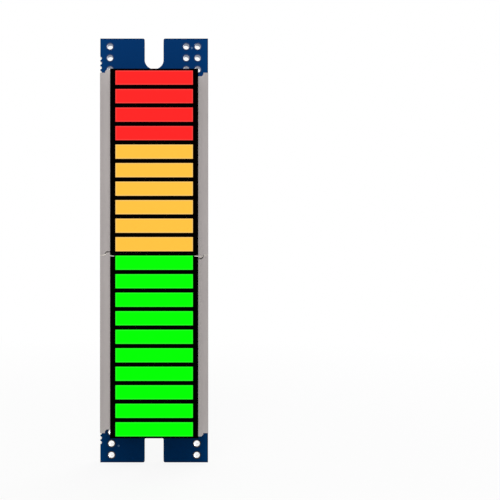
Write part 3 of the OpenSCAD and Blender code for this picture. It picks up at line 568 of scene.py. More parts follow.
# %% [markdown]
# ## Chip resistors, arrays and ceramics
#
# A chip resistor is a white alumina block with a black glaze on its top only, so the direction a
# face points in tells the two apart. In some zones of the board the tops are a mottled grey brown
# instead. All resistors share one node, so the zones are told by where on the board a part stands.
# Ceramic capacitors are the same tan all round, with darker brown blotches.
# %% Glaze, alumina and tan ceramic
resistor_glaze, shader, place = start_finish("resistor_glaze", 0.4)
x, _, z = parts(place)
top = facing(place)[1] > 0.6
cloud = grain(place, 2.2, 3.0)
mottled_zone = (x > 5.0) * (band(z, -5.6, -1.0) + band(z, -17.6, -12.0) + band(z, 21.0, 23.6))
mottled_zone = mottled_zone + band(z, -24.0, -20.8) * (abs(x) < 3.2) + (x < -4.0) * band(z, 27.8, 30.2)
mottled = tint((grain(place, 3.2, 3.0) - 0.4) * 3.0, rgb(34, 32, 30), rgb(106, 99, 90))
black_glaze = tint(cloud, rgb(18, 16, 16), dim(rgb(18, 16, 16), 2.2))
face = tint(mottled_zone, black_glaze, mottled)
paint(shader, tint(top, rgb(150, 146, 134), face))
feed(shader, "Roughness", 0.57 - top * 0.3 + cloud * 0.1)
relief(shader, cloud)
wear(resistor_glaze, "chip_resistors", "resistor_arrays")

tan_fired, shader, place, cloud = clouded("tan_fired", 1.8, 0.32, 0.2, 0.3, 4.0)
blotch = (grain(place, 0.9, 3.0) - 0.42) * 4.0
brown = tint(cloud, rgb(60, 47, 34), rgb(98, 78, 54))
paint(shader, tint(blotch, brown, rgb(158, 132, 84)))
relief(shader, grain(place, 8.0))
wear(tan_fired, "ceramic_capacitors")

# %% [markdown]
# ## Tantalum capacitors
#
# These two are moulded blocks like the chips, with a printed stripe at the plus end. The blocks
# share one node, so each stripe has its own window in height.
# %% Moulded block with a plus stripe
tantalum, shader, place, cloud = clouded("tantalum_block", 1.1, 0.45, 0.1, 0.25)
x, y, z = parts(place)
speck = grain(place, 14.0)
body_black = tint((speck - 0.4) * 1.2, rgb(16, 15, 15), rgb(46, 44, 43))
on_right = band(z, 9.95, 10.28) * (abs(x + 8.4) < 0.55)
on_left = band(z, 3.85, 4.18) * (abs(x - 7.3) < 0.55)
stripe = (on_right + on_left) * (y > 1.2)
paint(shader, tint(stripe * (0.7 + cloud * 0.3), body_black, rgb(122, 152, 176)))
relief(shader, speck, 0.008, 0.6)
wear(tantalum, "tantalum_capacitors")

# %% [markdown]
# ## Trimmers
#
# A trimmer is a dark brown block with metal side plates and a cream adjuster that a screwdriver
# turns. The adjuster turns with its joint, so its finish depends on nothing but its own place. Its
# slot collects shade and dust: a darker cream where the surface lies below the rim.
# %% Cream adjuster
adjuster, shader, place, cloud = clouded("adjuster_cream", 1.5, 0.45, 0.1, 0.3)
in_slot = fade(parts(place)[1], 1.9, 2.5, 1.0, 0.0)
cream = tint(cloud, rgb(198, 192, 152), rgb(216, 211, 178))
paint(shader, tint(in_slot * 0.35, cream, rgb(176, 166, 124)))
relief(shader, grain(place, 7.0), 0.008, 0.5)
wear(adjuster, "upper_trimmer_rotor", "lower_trimmer_rotor")

# %% [markdown]
# Each side plate stands upright beside the block. Its outer skin is cream tin, and its inner part
# lies in the block's shade, so from behind only a thin pale line shows. Outside the plates lie the
# soldered feet, bright and streaky on the left pair, mottled on the single right one.
# %% Side plates and feet
BLOCK_MIDDLE = -0.85
PLATE_SKIN = 2.30
FOOT_TOP = 0.35
tones = (0.42, 0.40, 0.34), (0.92, 0.90, 0.84)
plate_tin, shader, place, colour = metal_finish("plate_tin", *tones, 1.6, (0.38, 0.52))
x, y, _ = parts(place)
above_foot = y > FOOT_TOP
inner = (abs(x - BLOCK_MIDDLE) < PLATE_SKIN) * above_foot
mottle = tint((grain(place, 2.4, 3.0) - 0.4) * 3.0, (0.34, 0.34, 0.27), (0.86, 0.86, 0.78))
colour = tint(x < BLOCK_MIDDLE - 2.55, colour, mottle)
outer_skin = (abs(facing(place)[0]) > 0.6) * above_foot
colour = tint(outer_skin * 0.92, colour, (0.66, 0.64, 0.58))
paint(shader, tint(inner, colour, (0.018, 0.014, 0.011)))
feed(shader, "Metallic", 1 - inner)
feed(shader, "Roughness", 0.36 + grain(place, 1.2) * 0.08)
wear(plate_tin, "upper_trimmer_terminals", "lower_trimmer_terminals")

# %% [markdown]
# ## The aluminium can
#
# The can is drawn from sheet. Its rolled rim is painted bright and its flat top darker, as painted
# reflections, and the top is faintly brushed, which is noise stretched a long way in one direction.
# A brushed disc also shows a fan of light and shade round its middle: a cosine of twice the bearing
# from the can's axis. The black half moon printed below a chord marks the minus lead.
# %% Drawn aluminium
_, can_middle, can_head = box_mm("capacitor_can")
can_top = can_head.y
CAN_NECK = 2.3
can_metal, shader, place = start_finish("can_metal", 0.12)
x, y, z = parts(place)
across, up = x - can_middle.x, z - can_middle.z
brushed = grain(stretched(place, 6.0, 6.0, 0.5), 1.6, 5.0, 0.7)
drawn = grain(stretched(place, 3.0, 0.25, 3.0), 1.2, 4.0)
fan = place.math("COSINE", (place.math("ARCTAN2", up, across) - 0.5) * 2.0) * 0.5 + 0.5
from_axis = place.math("SQRT", across * across + up * up)
flat_top = (y > can_top - 0.12) * (from_axis < 2.86)
minus_mark = (up < -1.7) * (y > can_top - 0.45)
in_neck = y < CAN_NECK

# Painted reflections: the rim is painted bright and the flat top darker.
top_grey = tint(brushed * 0.35 + fan * 0.5, (0.13, 0.13, 0.14), (0.48, 0.48, 0.50))
wall_grey = tint(drawn * 0.7 + fan * 0.3, (0.34, 0.34, 0.36), (0.86, 0.86, 0.87))
rim_highlight = tint(fan, (0.66, 0.66, 0.67), (0.95, 0.95, 0.95))
side_grey = tint(y < can_top - 0.9, rim_highlight, wall_grey)
side_grey = tint(in_neck, side_grey, (0.20, 0.20, 0.21))
ink_black = tint(brushed, (0.004, 0.004, 0.004), (0.02, 0.02, 0.018))
paint(shader, tint(minus_mark, tint(flat_top, side_grey, top_grey), ink_black))
feed(shader, "Metallic", 1 - minus_mark * 0.95)
feed(shader, "Roughness", 0.26 + brushed * 0.16 + minus_mark * 0.1 + in_neck * 0.3)
relief(shader, brushed, 0.006, 0.5)
wear(can_metal, "capacitor_can")

# %% [markdown]
# ## Ivory connector
#
# Unfilled nylon is slightly see-through and warm white, with flow marks. Light enters the thin
# walls and comes out again inside the socket, so its bottom is never as dark as a hole in solid
# plastic. Tracing that light is slow, and a faint glow of the bottom's own yellower beige does the
# same. The wall at the top end is painted a little greyer on its end face and its rim, as painted
# shade.
# %% Warm nylon
END_WALL = -15.2
nylon, shader, place, cloud = clouded("ivory_nylon", 0.8, 0.42, 0.12, 0.35, 4.0)
_, y, z = parts(place)
_, backwards, upwards = facing(place)
# Painted shade: the top end's end face and rim are a little greyer.
end_wall_shade = place.math("MAXIMUM", upwards > 0.6, backwards > 0.6) * (z > END_WALL)
in_well = fade(y, 1.2, 3.2, 1.0, 0.0)
ivory = tint(cloud, rgb(226, 226, 217), rgb(240, 240, 233))
ivory = tint(end_wall_shade * 0.9, ivory, rgb(196, 197, 190))
beige = tint((grain(place, 0.9, 3.0) - 0.4) * 3.0, rgb(208, 202, 176), rgb(234, 232, 219))
paint(shader, tint(in_well * 0.85, ivory, beige))
feed(shader, "Emission Color", tint(in_well, (0, 0, 0), dim(rgb(228, 225, 208), 0.22)))
shader.inputs["Emission Strength"].default_value = 1.0
relief(shader, grain(place, 6.0))
wear(nylon, "connector_housing")

# %% [markdown]
# ## Drawing flat things on the board
#
# Copper tracks, printed lines and numbers are flat drawings that lie on one face of the board. They
# are drawn as seen, in a plane in millimetres: u runs to the right as someone behind the board sees
# it, and the second value is the height on the board. One matrix stands the drawing up on the back,
# and another on the front. A few hundredths of a millimetre of thickness make each drawing a closed
# body like any other piece.
# %% From a flat drawing to a piece
ON_BACK = Matrix(((-1, 0, 0, 0), (0, 0, 1, 0), (0, 1, 0, 0), (0, 0, 0, 1)))


def on_front(depth):
    """Stands a drawing on a face at this depth. Its u then runs to the right as seen in front."""
    return Matrix(((1, 0, 0, 0), (0, 0, -1, depth), (0, 1, 0, 0), (0, 0, 0, 1)))


def fresh_verts(grown):
    return [part for part in grown["geom"] if isinstance(part, bmesh.types.BMVert)]


def thicken(bm, low, high):
    bmesh.ops.translate(bm, vec=(0, 0, low), verts=bm.verts[:])
    grown = bmesh.ops.extrude_face_region(bm, geom=bm.faces[:], use_keep_orig=True)
    bmesh.ops.translate(bm, vec=(0, 0, high - low), verts=fresh_verts(grown))
    bmesh.ops.recalc_face_normals(bm, faces=bm.faces[:])


def settle(bm, name, finish, side=ON_BACK):
    bmesh.ops.transform(bm, matrix=Matrix.Scale(MM, 4) @ side, verts=bm.verts[:])
    mesh = bpy.data.meshes.new(name)
    bm.to_mesh(mesh)
    bm.free()
    mesh.materials.append(finish)
    piece = add_object(name, mesh)
    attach(piece, "module")
    print(name, "has", len(mesh.polygons), "faces")


def lay(bm, name, low, high, finish, side=ON_BACK):
    """Thicken a drawing from low to high above its plane and settle it."""
    thicken(bm, low, high)
    settle(bm, name, finish, side)


print("u 5, height 2 on the back is at x, y, z", list(ON_BACK @ Vector((5, 2, 0))), "in mm")


# %% [markdown]
# A line is pulled out of one short edge: the edge is extruded to each corner in turn and turned
# there to lie along the mitre. A curve with a bevel would do it too, but gives ten times the faces.
# %% Pull a line along its corners
def draw_line(bm, corners, width):
    corners = [Vector(corner) for corner in corners]
    steps = [(b - a).normalized() for a, b in zip(corners, corners[1:])]
    edge = None
    for number, corner in enumerate(corners):
        into = steps[max(0, number - 1)]
        out = steps[min(len(steps) - 1, number)]
        along = (into + out).normalized()
        across = Vector((-along.y, along.x)) * (width / 2 / max(0.5, along.dot(out)))
        left, right = (corner + across).to_3d(), (corner - across).to_3d()
        if edge is None:
            ends = [bm.verts.new(left), bm.verts.new(right)]
            edge = bm.edges.new(ends)
            continue
        fresh = fresh_verts(bmesh.ops.extrude_edge_only(bm, edges=[edge]))
        if fresh[0] not in [e.other_vert(ends[0]) for e in ends[0].link_edges]:
            fresh.reverse()
        fresh[0].co, fresh[1].co = left, right
        ends = fresh
        edge = bm.edges.get(fresh)


def lines(drawn):
    """A drawing of several lines, each given by its corners and its width."""
    bm = bmesh.new()
    for corners, width in drawn:
        draw_line(bm, corners, width)
    return bm


bent = lines([([(0, 0), (5, 0), (8, 3)], 0.2)])
print("a line with one bend has", len(bent.faces), "faces")
bent.free()


# %% [markdown]
# A ring is a circle whose edge is extruded once and shrunk about its middle.
# %% Rings
def rings(middles, across, width):
    """A drawing of equal rings, one round each middle."""
    bm = bmesh.new()
    for u, z in middles:
        there = Matrix.Translation((u, z, 0))
        made = bmesh.ops.create_circle(bm, radius=across / 2, segments=12, matrix=there)
        edges = list({edge for vert in made["verts"] for edge in vert.link_edges})
        inner = fresh_verts(bmesh.ops.extrude_edge_only(bm, edges=edges))
        shrink = there @ Matrix.Scale(1 - 2 * width / across, 4) @ there.inverted()
        bmesh.ops.transform(bm, matrix=shrink, verts=inner)
    return bm


print("drawing tools ready")


# %% [markdown]
# ## Copper tracks under the varnish
#
# Under blue varnish tracks show only as faintly lighter lines with round vias at their ends. Nobody
# can follow the real routing in the photograph, so they are laid out as a board designer would:
# bundles that leave the chips side by side, bend at 45 degrees and run to the display pins.
# %% Routing with 45 degree bends
def bend_route(start, end, rise):
    """From start straight up or down by rise, then on a slant, then across to end."""
    (u1, z1), (u2, z2) = start, end
    turn_z = z1 + rise
    slant = z2 - turn_z
    side = math.copysign(min(abs(slant), abs(u2 - u1)), u2 - u1)
    bend = (u1 + side, turn_z + math.copysign(abs(side), slant))
    corners = [(u1, z1), (u1, turn_z), bend, (u2, z2)]
    gaps = [math.dist(a, b) for a, b in zip(corners, corners[1:])]
    return corners[:1] + [corner for corner, gap in zip(corners[1:], gaps) if gap > 0.05]


PIN_U, PIN_PITCH = 3.81, 2.54
pin_rows = [middle + (4.5 - n) * PIN_PITCH for middle in (15.0, -15.0) for n in range(10)]
routes = []
for chip_z, first_pin in ((22.55, 0), (13.7, 4)):
    up, down = chip_z + 3.5, chip_z - 3.5
    for lead in range(8):
        u = 0.1 + (lead - 3.5) * 0.65
        if lead < 3:
            above, below = pin_rows[first_pin + lead // 2], pin_rows[first_pin + 3 - lead // 2]
            routes += [
                bend_route((u, up), (-PIN_U, above), 0.25 + 0.3 * lead),
                bend_route((u, down), (-PIN_U, below), -0.3 - 0.3 * lead),
            ]
        else:
            end = (3.0 + 0.33 * (lead - 3), down - 2.2 - 0.65 * (lead % 2))
            routes += [
                [(u, up), (u, up + 0.5), (u + 0.6, up + 1.1 - 0.05 * lead)],
                bend_route((u, down), end, -0.3 - 0.12 * lead),
            ]
for n, row in enumerate(pin_rows):
    lane = -4.5 - 0.32 * (n % 4)
    routes.append([(-PIN_U, row), (lane, row + PIN_U + lane), (lane, row - 2.2 - 0.3 * (n % 3))])
for n in range(6):
    lane = -8.9 + 0.33 * n
    routes.append([(lane, 12.4 - n), (lane, 8.6 - n), (lane + 1.2, 7.4 - n), (-5.7, 7.4 - n)])
for n in range(5):
    lane, rise = 3.2 + 0.34 * n, 0.3 * n
    inner = lane - 1.1
    routes.append([(lane, rise - 20.5), (lane, -24.2), (inner, -25.3), (inner, -27.0 - rise)])
for n in range(4):
    u = 0.1 + (n - 1.5) * 1.27
    routes += [
        [(u - 0.7, -9.9), (u - 0.7, -10.6), (u - 1.4 - 0.2 * n, -11.3), (-3.2, -11.3 - 0.3 * n)],
        [(u - 0.7, -20.0), (u - 0.7, -20.6), (u - 0.3, -21.0), (u - 0.3, -21.3)],
        [(u + 6.8, 14.4), (u + 6.8, 13.9 - 0.2 * n), (u + 6.1, 13.2 - 0.2 * n)],
    ]
for side in (-1, 1):
    upper = (8.95, 26.0), (8.95, 20.5), (8.6, 20.15), (8.6, 13.2)
    lower = (8.9, -10.8), (8.9, -27.5), (8.3, -28.1), (8.3, -30.4)
    routes += [[(side * u, z) for u, z in corners] for corners in (upper, lower)]
print("routes:", len(routes))

# %% [markdown]
# The track finish is the board's own blue a shade lighter. Vias are paler still on the front. On
# the back they are sunk under more varnish, so only a cloudy rim shows.
# %% Lay tracks and vias
track_blue, shader, place, cloud = clouded("track_blue", 0.5, 0.3, 0.1, 0.02)
paint(shader, tint(cloud, rgb(4, 34, 76), rgb(8, 50, 100)))
relief(shader, grain(place, 5.0), 0.006, 0.4)

via_blue, shader, place, cloud = clouded("via_blue", 1.5, 0.35, 0.15, 0.05)
sunk_rim = tint(cloud, rgb(8, 46, 92), rgb(40, 80, 124))
paint(shader, tint(parts(place)[1] < -1.0, sunk_rim, rgb(74, 104, 140)))
relief(shader, cloud)

lay(lines([(corners, 0.2) for corners in routes]), "back_tracks", 0.0, 0.012, track_blue)
ends = [corners[-1] for corners in routes if abs(corners[-1][0]) != PIN_U]
vias = sorted({(round(u, 2), round(z, 2)) for u, z in ends})
lay(rings(vias, 0.5, 0.16), "back_vias", 0.0, 0.02, via_blue)

# %% [markdown]
# On the front only the two ends of the board show. They are plain but for one small via at each
# end, between the holes.
# %% Front vias
bm = rings([(6.6, 35.35), (-6.2, -34.1)], 0.36, 0.12)
lay(bm, "front_vias", 0.0, 0.02, via_blue, side=on_front(-THICKNESS))

# %% [markdown]
# Where the two displays meet, the joint catches the light in hairs of pale glint, painted here as
# pale strips. They lie on both shoulders and on the black margins of the face, and hide the joint
# for most of its length.
# %% Painted glints in the joint of the displays
SHOULDER = -7.9
joint_glint, shader, _, cloud = clouded("joint_glint", 1.8, 0.4, 0.2, 0.3)
paint(shader, tint((cloud - 0.35) * 2.5, rgb(176, 170, 164), rgb(238, 234, 224)))
relief(shader, cloud)

bm = lines([
    ([(-9.0, -0.66), (-8.35, -0.64), (-8.05, -0.48), (-7.8, -0.22)], 0.15),
    ([(9.0, -0.62), (8.25, -0.62)], 0.13),
    ([(8.12, -0.82), (7.3, -0.84)], 0.14),
])
lay(bm, "shoulder_joint_glint", -0.01, 0.03, joint_glint, on_front(SHOULDER))

left, right = [(-7.14, -0.60), (-6.85, -0.66), (-6.5, -0.67)], [(7.14, -0.70), (6.5, -0.66)]
bm = lines([(left, 0.1), (right, 0.1)])
face = on_front(box_mm("upper_face_mask")[0].y)
lay(bm, "face_joint_glint", -0.01, 0.015, joint_glint, face)

# %% [markdown]
# ## White print: frames and brackets
#
# A white epoxy ink, pressed through a screen, frames the header and brackets the parts, in lines
# about 0.2 mm wide. The header's frame has gaps at its sides and an open lower left corner.
# %% Printed lines
INK = 0.03
white_ink, shader, place, cloud = clouded("white_ink", 3.0, 0.6, 0.15, detail=4.0)
paint(shader, tint(cloud, rgb(196, 202, 208), rgb(234, 238, 242)))
relief(shader, grain(place, 9.0), 0.008, 0.6)

printed = {
    0.16: [
        [(3.87, 28.2), (3.87, 27.2), (3.55, 26.91), (-3.29, 26.91)], [(-3.68, 27.1), (-3.68, 28.2)],
        [(-3.68, 28.65), (-3.68, 30.15), (-3.45, 30.37),
         (3.62, 30.37), (3.87, 30.15), (3.87, 28.65)],
        [(5.4, 7.3), (6.0, 7.3), (6.0, 6.85)], [(5.4, 5.2), (6.0, 5.2)],
        [(-7.9, -24.4), (-7.9, -24.2), (-6.75, -24.2), (-6.75, -24.4)],
        [(-7.9, -27.35), (-7.9, -27.75), (-6.75, -27.75), (-6.75, -27.35)],
    ],
    0.18: [
        [(3.9, 24.0), (3.9, 23.54), (4.3, 23.54)], [(5.7, 23.54), (6.07, 23.54), (6.07, 24.4)],
        [(-5.83, 25.67), (-5.6, 25.67)], [(-5.35, 24.6), (-5.2, 24.15), (-5.83, 24.15)],
        [(7.81, 24.15), (8.1, 24.58)], [(8.03, 23.5), (8.32, 23.86)], [(7.3, -2.95), (8.6, -4.15)],
        [(-4.85, -28.35), (-4.85, -28.95), (-4.35, -28.95)],
        [(-3.35, -28.95), (-2.75, -28.95), (-2.75, -28.35)],
        [(-1.3, -29.2), (-0.6, -29.2), (-0.6, -28.6)],
        [(2.35, -27.0), (1.75, -27.0), (1.75, -27.6)],
        [(1.75, -28.3), (1.75, -29.0), (2.35, -29.0)],
    ],
    0.2: [
        [(4.7, 13.55), (5.85, 13.55)], [(4.95, 13.35), (4.95, 12.7)],
        [(-6.35, -32.2), (-6.35, -32.75)], [(-5.35, -32.2), (-5.35, -32.75)],
    ],
    0.22: [
        [(-6.62, -30.1), (-6.62, -31.0), (-6.9, -31.1)],
        [(8.95, -24.3), (8.95, -23.6), (8.75, -23.45)],
    ],
}
bm = lines([(corners, width) for width, drawn in printed.items() for corners in drawn])
lay(bm, "printed_lines", 0.0, INK, white_ink)


# %% [markdown]
# ## White print: plain numbers
#
# A small counting number is printed beside most parts, level or turned a quarter as there is room.
# A text object for each number would make over seventy objects. Instead each digit is made a mesh
# once, and copies are set into one drawing.
# %% Make the ten digits once
def make_digit(character, weight):
    text = bpy.data.curves.new("digit_" + character, "FONT")
    text.body = character
    text.align_x = text.align_y = "CENTER"
    text.resolution_u = 2
    text.offset = weight
    letter = add_object("digit_" + character, text)
    depsgraph = bpy.context.evaluated_depsgraph_get()
    mesh = bpy.data.meshes.new_from_object(letter.evaluated_get(depsgraph))
    bpy.data.objects.remove(letter)
    return mesh


thin_digits = {character: make_digit(character, 0.006) for character in "0123456789"}
bold_digits = {character: make_digit(character, 0.034) for character in "0123456789"}
heights = [v.co.y for v in thin_digits["0"].vertices]
digit_height = max(heights) - min(heights)
print("digit height at size 1:", round(digit_height, 3))


# %% [markdown]
# A number is set from its middle, turned about it, and its digits step along by a fixed advance, as
# a plotter pen letters a board.
# %% Set numbers
def set_number(bm, text, u, z, turn, height, advance=0.85, digits=thin_digits):
    spot = Matrix.Translation((u, z, 0)) @ Matrix.Rotation(math.radians(turn), 4, "Z")
    size = Matrix.Scale(height / digit_height, 4)
    for number, character in enumerate(text):
        step = (number - (len(text) - 1) / 2) * height * advance
        copy = digits[character].copy()
        copy.transform(spot @ Matrix.Translation((step, 0, 0)) @ size)
        bm.from_mesh(copy)
        bpy.data.meshes.remove(copy)


turned_numbers = [
    (-7.93, 29.71, 101), (-8.66, 28.42, 102), (-5.02, 26.23, 10), (2.89, 31.3, 11),
    (6.28, 32.04, 12), (8.75, 29.43, 13), (6.14, 28.56, 14), (-5.02, 24.15, 15),
    (-5.69, 21.98, 104), (-4.81, 22.26, 1001), (-5.46, 19.95, 105), (-2.99, 22.33, 16),
    (4.92, 23.2, 17), (4.04, 19.95, 18), (-7.65, 11.69, 106), (-6.91, 8.07, 19),
    (-2.92, 12.13, 20), (-2.48, 9.08, 107), (3.46, 13.95, 21), (3.17, 11.32, 22),
    (7.23, 7.84, 108), (8.47, 8.57, 24), (4.39, 4.65, 25), (-3.29, 4.65, 26), (-8.5, -0.19, 111),
    (-8.87, -1.92, 28), (-3.43, -2.06, 29), (-4.95, -3.45, 30), (-8.87, -4.97, 31),
    (-4.95, -6.14, 114), (4.18, -0.61, 32), (4.18, -2.36, 33), (-5.25, -7.63, 34),
    (-4.58, -7.56, 35), (-5.02, -9.31, 115), (-5.02, -11.2, 36), (-5.18, -12.86, 116),
    (-3.36, -14.82, 38), (-4.95, -16.64, 39), (-1.98, -11.11, 40), (1.5, -11.04, 41),
    (2.45, -10.53, 42), (8.84, -11.71, 119), (8.68, -13.44, 44), (-5.02, -18.57, 45),
    (-8.8, -22.92, 121), (-5.25, -23.43, 46), (-8.8, -26.26, 122), (3.1, -17.99, 47),
    (3.1, -21.33, 123), (3.03, -25.39, 48), (-8.73, -28.78, 49), (-4.37, -32.41, 51),
    (4.25, -29.87, 52), (8.4, -30.01, 53), (4.55, -32.98, 54),
]
other_numbers = [
    (4.69, 30.95, 103, 180), (6.0, 26.23, 1, 0), (9.05, 22.83, 2, 0), (3.17, 9.73, 23, 0),
    (7.3, 5.37, 109, 180), (3.97, 1.84, 27, 180), (6.65, 1.77, 110, 0), (-4.74, 0.47, 112, 180),
    (-4.67, -1.85, 113, 0), (-4.88, -14.75, 37, 0), (2.66, -12.49, 117, 0), (4.11, -11.11, 43, 0),
    (5.63, -12.28, 118, 0), (-3.8, -20.09, 120, 180), (-3.73, -25.02, 1002, 180),
    (-5.53, -29.66, 124, 180), (-3.57, -29.5, 50, 180), (-1.54, -30.01, 125, 180),
]
bm = bmesh.new()
for u, z, number, turn in [(*entry, 90) for entry in turned_numbers] + other_numbers:
    set_number(bm, str(number), u, z, turn, 0.84, 0.8)
for text, z in (("1234", 15.6), ("5678", 6.4)):
    set_number(bm, text, -5.15, z, 90, 1.05, 0.95)
lay(bm, "printed_numbers", 0.0, INK, white_ink)

# %% [markdown]
# ## Faint marks on the chips
#
# Chips are marked by a laser that turns the epoxy a shade greyer. The marks are plain rows of
# counting digits at that faint grey, on each chip's top.
# %% Laser marks
SUNK = 0.01
laser_grey, shader, _, cloud = clouded("laser_grey", 4.0, 0.6, 0.1)
paint(shader, tint(cloud, rgb(70, 70, 71), rgb(106, 106, 107)))
relief(shader, cloud, 0.006, 0.5)


def chip_rows(name, u, z, rows, height, top):
    bm = bmesh.new()
    for number, text in enumerate(rows):
        down = (number - (len(rows) - 1) / 2) * height * 1.65
        set_number(bm, text, u, z - down, 0, height)
    lay(bm, name, top - SUNK, top + 0.006, laser_grey)


for name, z in (("upper_driver_marks", 22.6), ("lower_driver_marks", 13.75)):
    chip_rows(name, 0.1, z, ("01234", "567890", "2468", "1357"), 0.5, 1.0)
chip_rows("right_amplifier_marks", 6.9, 17.9, ("0123456", "789012", "3456"), 0.52, 1.45)
for name, z in (("middle_amplifier_marks", -6.35), ("lower_amplifier_marks", -16.4)):
    chip_rows(name, -0.4, z, ("01234", "56789", "0246"), 0.52, 1.45)

# %% [markdown]
# The edges of a moulded body are rounded a little, and catch more light than its flat top. At this
# size that reads as a thin grey outline: along both sides of the chips, a double line beside the
# bevel of the amplifiers, and right round the tantalum blocks.
# %% Light along moulded edges
edge_grey, shader, _, cloud = clouded("edge_grey", 1.4, 0.45, 0.1, 0.3)
paint(shader, tint((cloud - 0.4) * 3.0, rgb(60, 61, 63), rgb(120, 121, 122)))
relief(shader, cloud, 0.006, 0.5)


def edge_lines(name, outlines, width, top):
    bm = lines([(corners, width) for corners in outlines])
    lay(bm, name, top - SUNK, top + 0.004, edge_grey)


def chip_edges(name, from_left, from_right, width):
    """Two upright lines on a chip's top, at these distances in from its sides."""
    low, _, high = box_mm(name)
    sides = (from_left - high.x, -low.x - from_right)
    uprights = [[(u, low.z + 0.3), (u, high.z - 0.3)] for u in sides]
    edge_lines(name + "_edges", uprights, width, high.y)


for name in ("upper_driver_chip", "lower_driver_chip"):
    chip_edges(name, 0.16, 0.16, 0.09)
for name in ("right_amplifier_chip", "middle_amplifier_chip", "lower_amplifier_chip"):
    chip_edges(name, 0.66, 0.3, 0.07)


def outline_round(u, z, half_w, half_h):
    """Once round a rectangle from the middle of its left side, all but closed."""
    left, right, head, foot = u - half_w, u + half_w, z + half_h, z - half_h
    return [(left, z), (left, head), (right, head), (right, foot), (left, foot), (left, z + 0.02)]


TANTALUM_TOP = 1.6
blocks = [outline_round(8.4, 11.2, 0.6, 1.4), outline_round(-7.3, 5.1, 0.6, 1.4)]
edge_lines("tantalum_edges", blocks, 0.1, TANTALUM_TOP)

# %% [markdown]
# The diode's body is a moulded block too, but its sides slope out to a wide foot, and from behind
# they show as a paler border round the dark top, brightest on the side towards the window. A cube
# whose upper four vertices are drawn in makes that slope, and a small bevel rounds its corners.
# %% Sloping sides of the diode
skirt_black, shader, place, cloud = clouded("skirt_black", 1.4, 0.5, 0.1)
bright_side = (facing(place)[0] < -0.3) * (0.4 + cloud)
paint(shader, tint(bright_side, rgb(30, 30, 36), rgb(104, 106, 112)))
relief(shader, grain(place, 14.0), 0.008, 0.6)

SLOPE = 0.27
SKIRT_FOOT, SKIRT_HEAD = 0.12, 0.84
_, middle, high = box_mm("rectifier_diode")
half_w, half_h = high.x - middle.x, high.z - middle.z
foot_w, foot_h = half_w + SLOPE, half_h + SLOPE
bm = bmesh.new()
bmesh.ops.create_cube(bm, size=2)
bmesh.ops.scale(bm, vec=(foot_w, foot_h, (SKIRT_HEAD - SKIRT_FOOT) / 2), verts=bm.verts[:])
head = [vert for vert in bm.verts if vert.co.z > 0]
bmesh.ops.scale(bm, vec=((half_w - 0.04) / foot_w, (half_h - 0.04) / foot_h, 1), verts=head)
upright = [edge for edge in bm.edges if abs(edge.verts[0].co.z - edge.verts[1].co.z) > 0.5]
bmesh.ops.bevel(bm, geom=upright, offset=0.1, affect="EDGES", segments=2, profile=0.5,
                material=-1)
bmesh.ops.recalc_face_normals(bm, faces=bm.faces[:])
above_board = (-middle.x, middle.z, (SKIRT_HEAD + SKIRT_FOOT) / 2)
bmesh.ops.translate(bm, vec=above_board, verts=bm.verts[:])
settle(bm, "diode_skirt", skirt_black)


# %% [markdown]
# ## Numbers on the can, the tantalums and the trimmers
#
# The can's top carries its numbers in black ink, in three columns turned a quarter. The tantalum
# blocks have pale numbers and the resistor arrays one pale ring each. The trimmers have rows of
# tiny brown corners and bars along their edges. All three inks differ in colour alone.
# %% Black ink on the can
def plain_ink(name, dark, light):
    ink, shader, _, cloud = clouded(name, 3.0, 0.5, 0.15)
    paint(shader, tint(cloud, dark, light))
    return ink


black_ink = plain_ink("black_ink", (0.006, 0.006, 0.007), (0.02, 0.02, 0.02))
bm = bmesh.new()
for text, right, up in (("22", -1.45, -0.3), ("0123", -0.1, 0.6), ("35", 1.2, -0.2)):
    u, z = right - can_middle.x, up + can_middle.z
    set_number(bm, text, u, z, 90, 1.07, 0.84, bold_digits)
lay(bm, "can_numbers", can_top - SUNK, can_top + SUNK, black_ink)

# %% [markdown]
# The tantalum blocks and the arrays share the pale ink, and the trimmers take the brown one.
# %% Pale and brown marks
pale_ink = plain_ink("pale_ink", rgb(96, 96, 98), rgb(150, 152, 156))
bm = bmesh.new()
for u, z in ((8.35, 11.75), (-7.35, 5.65)):
    set_number(bm, "226", u, z, 90, 0.62)
top = TANTALUM_TOP
lay(bm, "tantalum_numbers", top - SUNK, top + SUNK, pale_ink)

bm = rings([(-7.4, 18.8), (-7.4, 14.65)], 0.42, 0.12)
top = box_mm("resistor_arrays")[2].y
lay(bm, "array_dots", top - SUNK, top + SUNK, pale_ink)

brown_print = plain_ink("brown_print", rgb(74, 60, 48), rgb(112, 94, 74))
marks = []
for z in (5.78, 0.58):
    for foot in (z + 1.63, z + 1.14, z + 0.64, z - 1.14, z - 1.55):
        marks.append(([(-0.96, foot), (-0.96, foot + 0.2), (-0.62, foot + 0.2)], 0.08))
        marks.append(([(-0.6, foot + 0.24), (-0.6, foot), (-0.92, foot)], 0.08))
    marks += [([(u, z + 1.42), (u, z + 1.82)], 0.09) for u in (1.95, 2.21, 2.47)]
    marks += [([(0.1, end), (1.5, end)], 0.1) for end in (z - 2.12, z + 2.12)]
top = 2.6
lay(lines(marks), "trimmer_marks", top - SUNK, top + SUNK, brown_print)

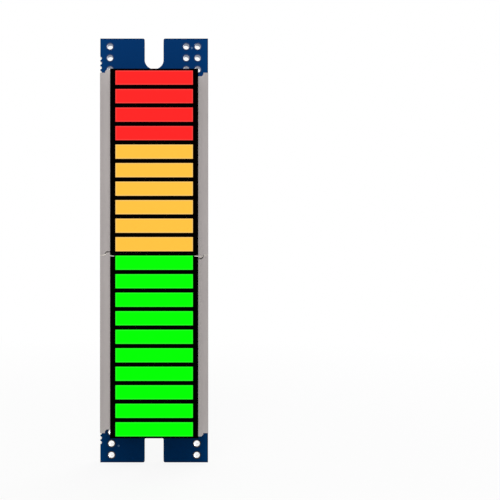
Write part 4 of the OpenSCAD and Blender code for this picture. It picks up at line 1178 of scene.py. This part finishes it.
# %% [markdown]
# ## Floor, lamps and world
#
# The object stands on a plain pale floor before a white ground. The white comes from what the
# camera sees of the world and floor, and never from more light on the object: Light Path tells
# camera rays from the rest. Part of what the camera sees of the floor is still lit by the lamps,
# which keeps the object's shadow.
# %% Pale floor
bm = bmesh.new()
bmesh.ops.create_grid(bm, x_segments=2, y_segments=2, size=1.5)
bmesh.ops.translate(bm, vec=(0, 0, cad_box[0].z), verts=bm.verts[:])
floor_mesh = bpy.data.meshes.new("bench_top")
bm.to_mesh(floor_mesh)
bm.free()
add_object("bench_top", floor_mesh)


def seen_directly(start):
    """1 for rays from the camera, from polished metal and through clear parts, 0 for the rest."""
    camera_ray, glossy_ray, through_ray = (start.node("LightPath", output=n) for n in (0, 3, 6))
    return start.math("MINIMUM", camera_ray + glossy_ray + through_ray, 1.0)


grey = (0.82, 0.82, 0.82, 1)
bench, shader, place = start_finish("bench_white", 0.0, Base_Color=grey, Roughness=0.9)
white_light = {"Color": (1, 1, 1, 1), "Strength": 1.0}
glow = place.node("Emission", sockets=white_light)
lit = Signal(bench.node_tree, shader.outputs[0])
far = fade(place.node("VectorMath", {"operation": "LENGTH"}, {0: place}, output=1), 60, 160, 0.88)
pale = place.node("MixShader", sockets={0: seen_directly(place) * far, 1: lit, 2: glow})
clear = place.node("BsdfTransparent")
underside = place.node("NewGeometry", output=6)
both = place.node("MixShader", sockets={0: underside, 1: pale, 2: clear})
feed(bench.node_tree.nodes["Material Output"], "Surface", both)
floor_mesh.materials.append(bench)
print("floor at z", round(cad_box[0].z / MM, 2), "mm")

# %% [markdown]
# The world gives soft light from all round, and two large lamps add direction: one high in front,
# and one behind, on the side that the back view sees as its left. Together they light a white card
# to about 1, the level at which a colour renders about as it is written.
# %% World and lamps
world = bpy.data.worlds.new("studio")
world.use_nodes = True
bpy.context.scene.world = world
start = Signal(world.node_tree)
soft = start.node("Background", sockets={**white_light, "Strength": 0.62})
white = start.node("Background", sockets=white_light)
sky = start.node("MixShader", sockets={0: seen_directly(start), 1: soft, 2: white})
feed(world.node_tree.nodes["World Output"], "Surface", sky)


def soft_lamp(name, place):
    data = bpy.data.lights.new(name, "AREA")
    data.size = 0.40
    data.energy = 2.4
    lamp = add_object(name, data)
    lamp.location = place
    lamp.rotation_euler = (-Vector(place)).to_track_quat("-Z", "Y").to_euler()
    print(name, "at", place, data.energy, "W")


soft_lamp("front_softbox", (-0.05, -0.60, 0.36))
soft_lamp("rear_softbox", (0.38, 0.55, 0.16))
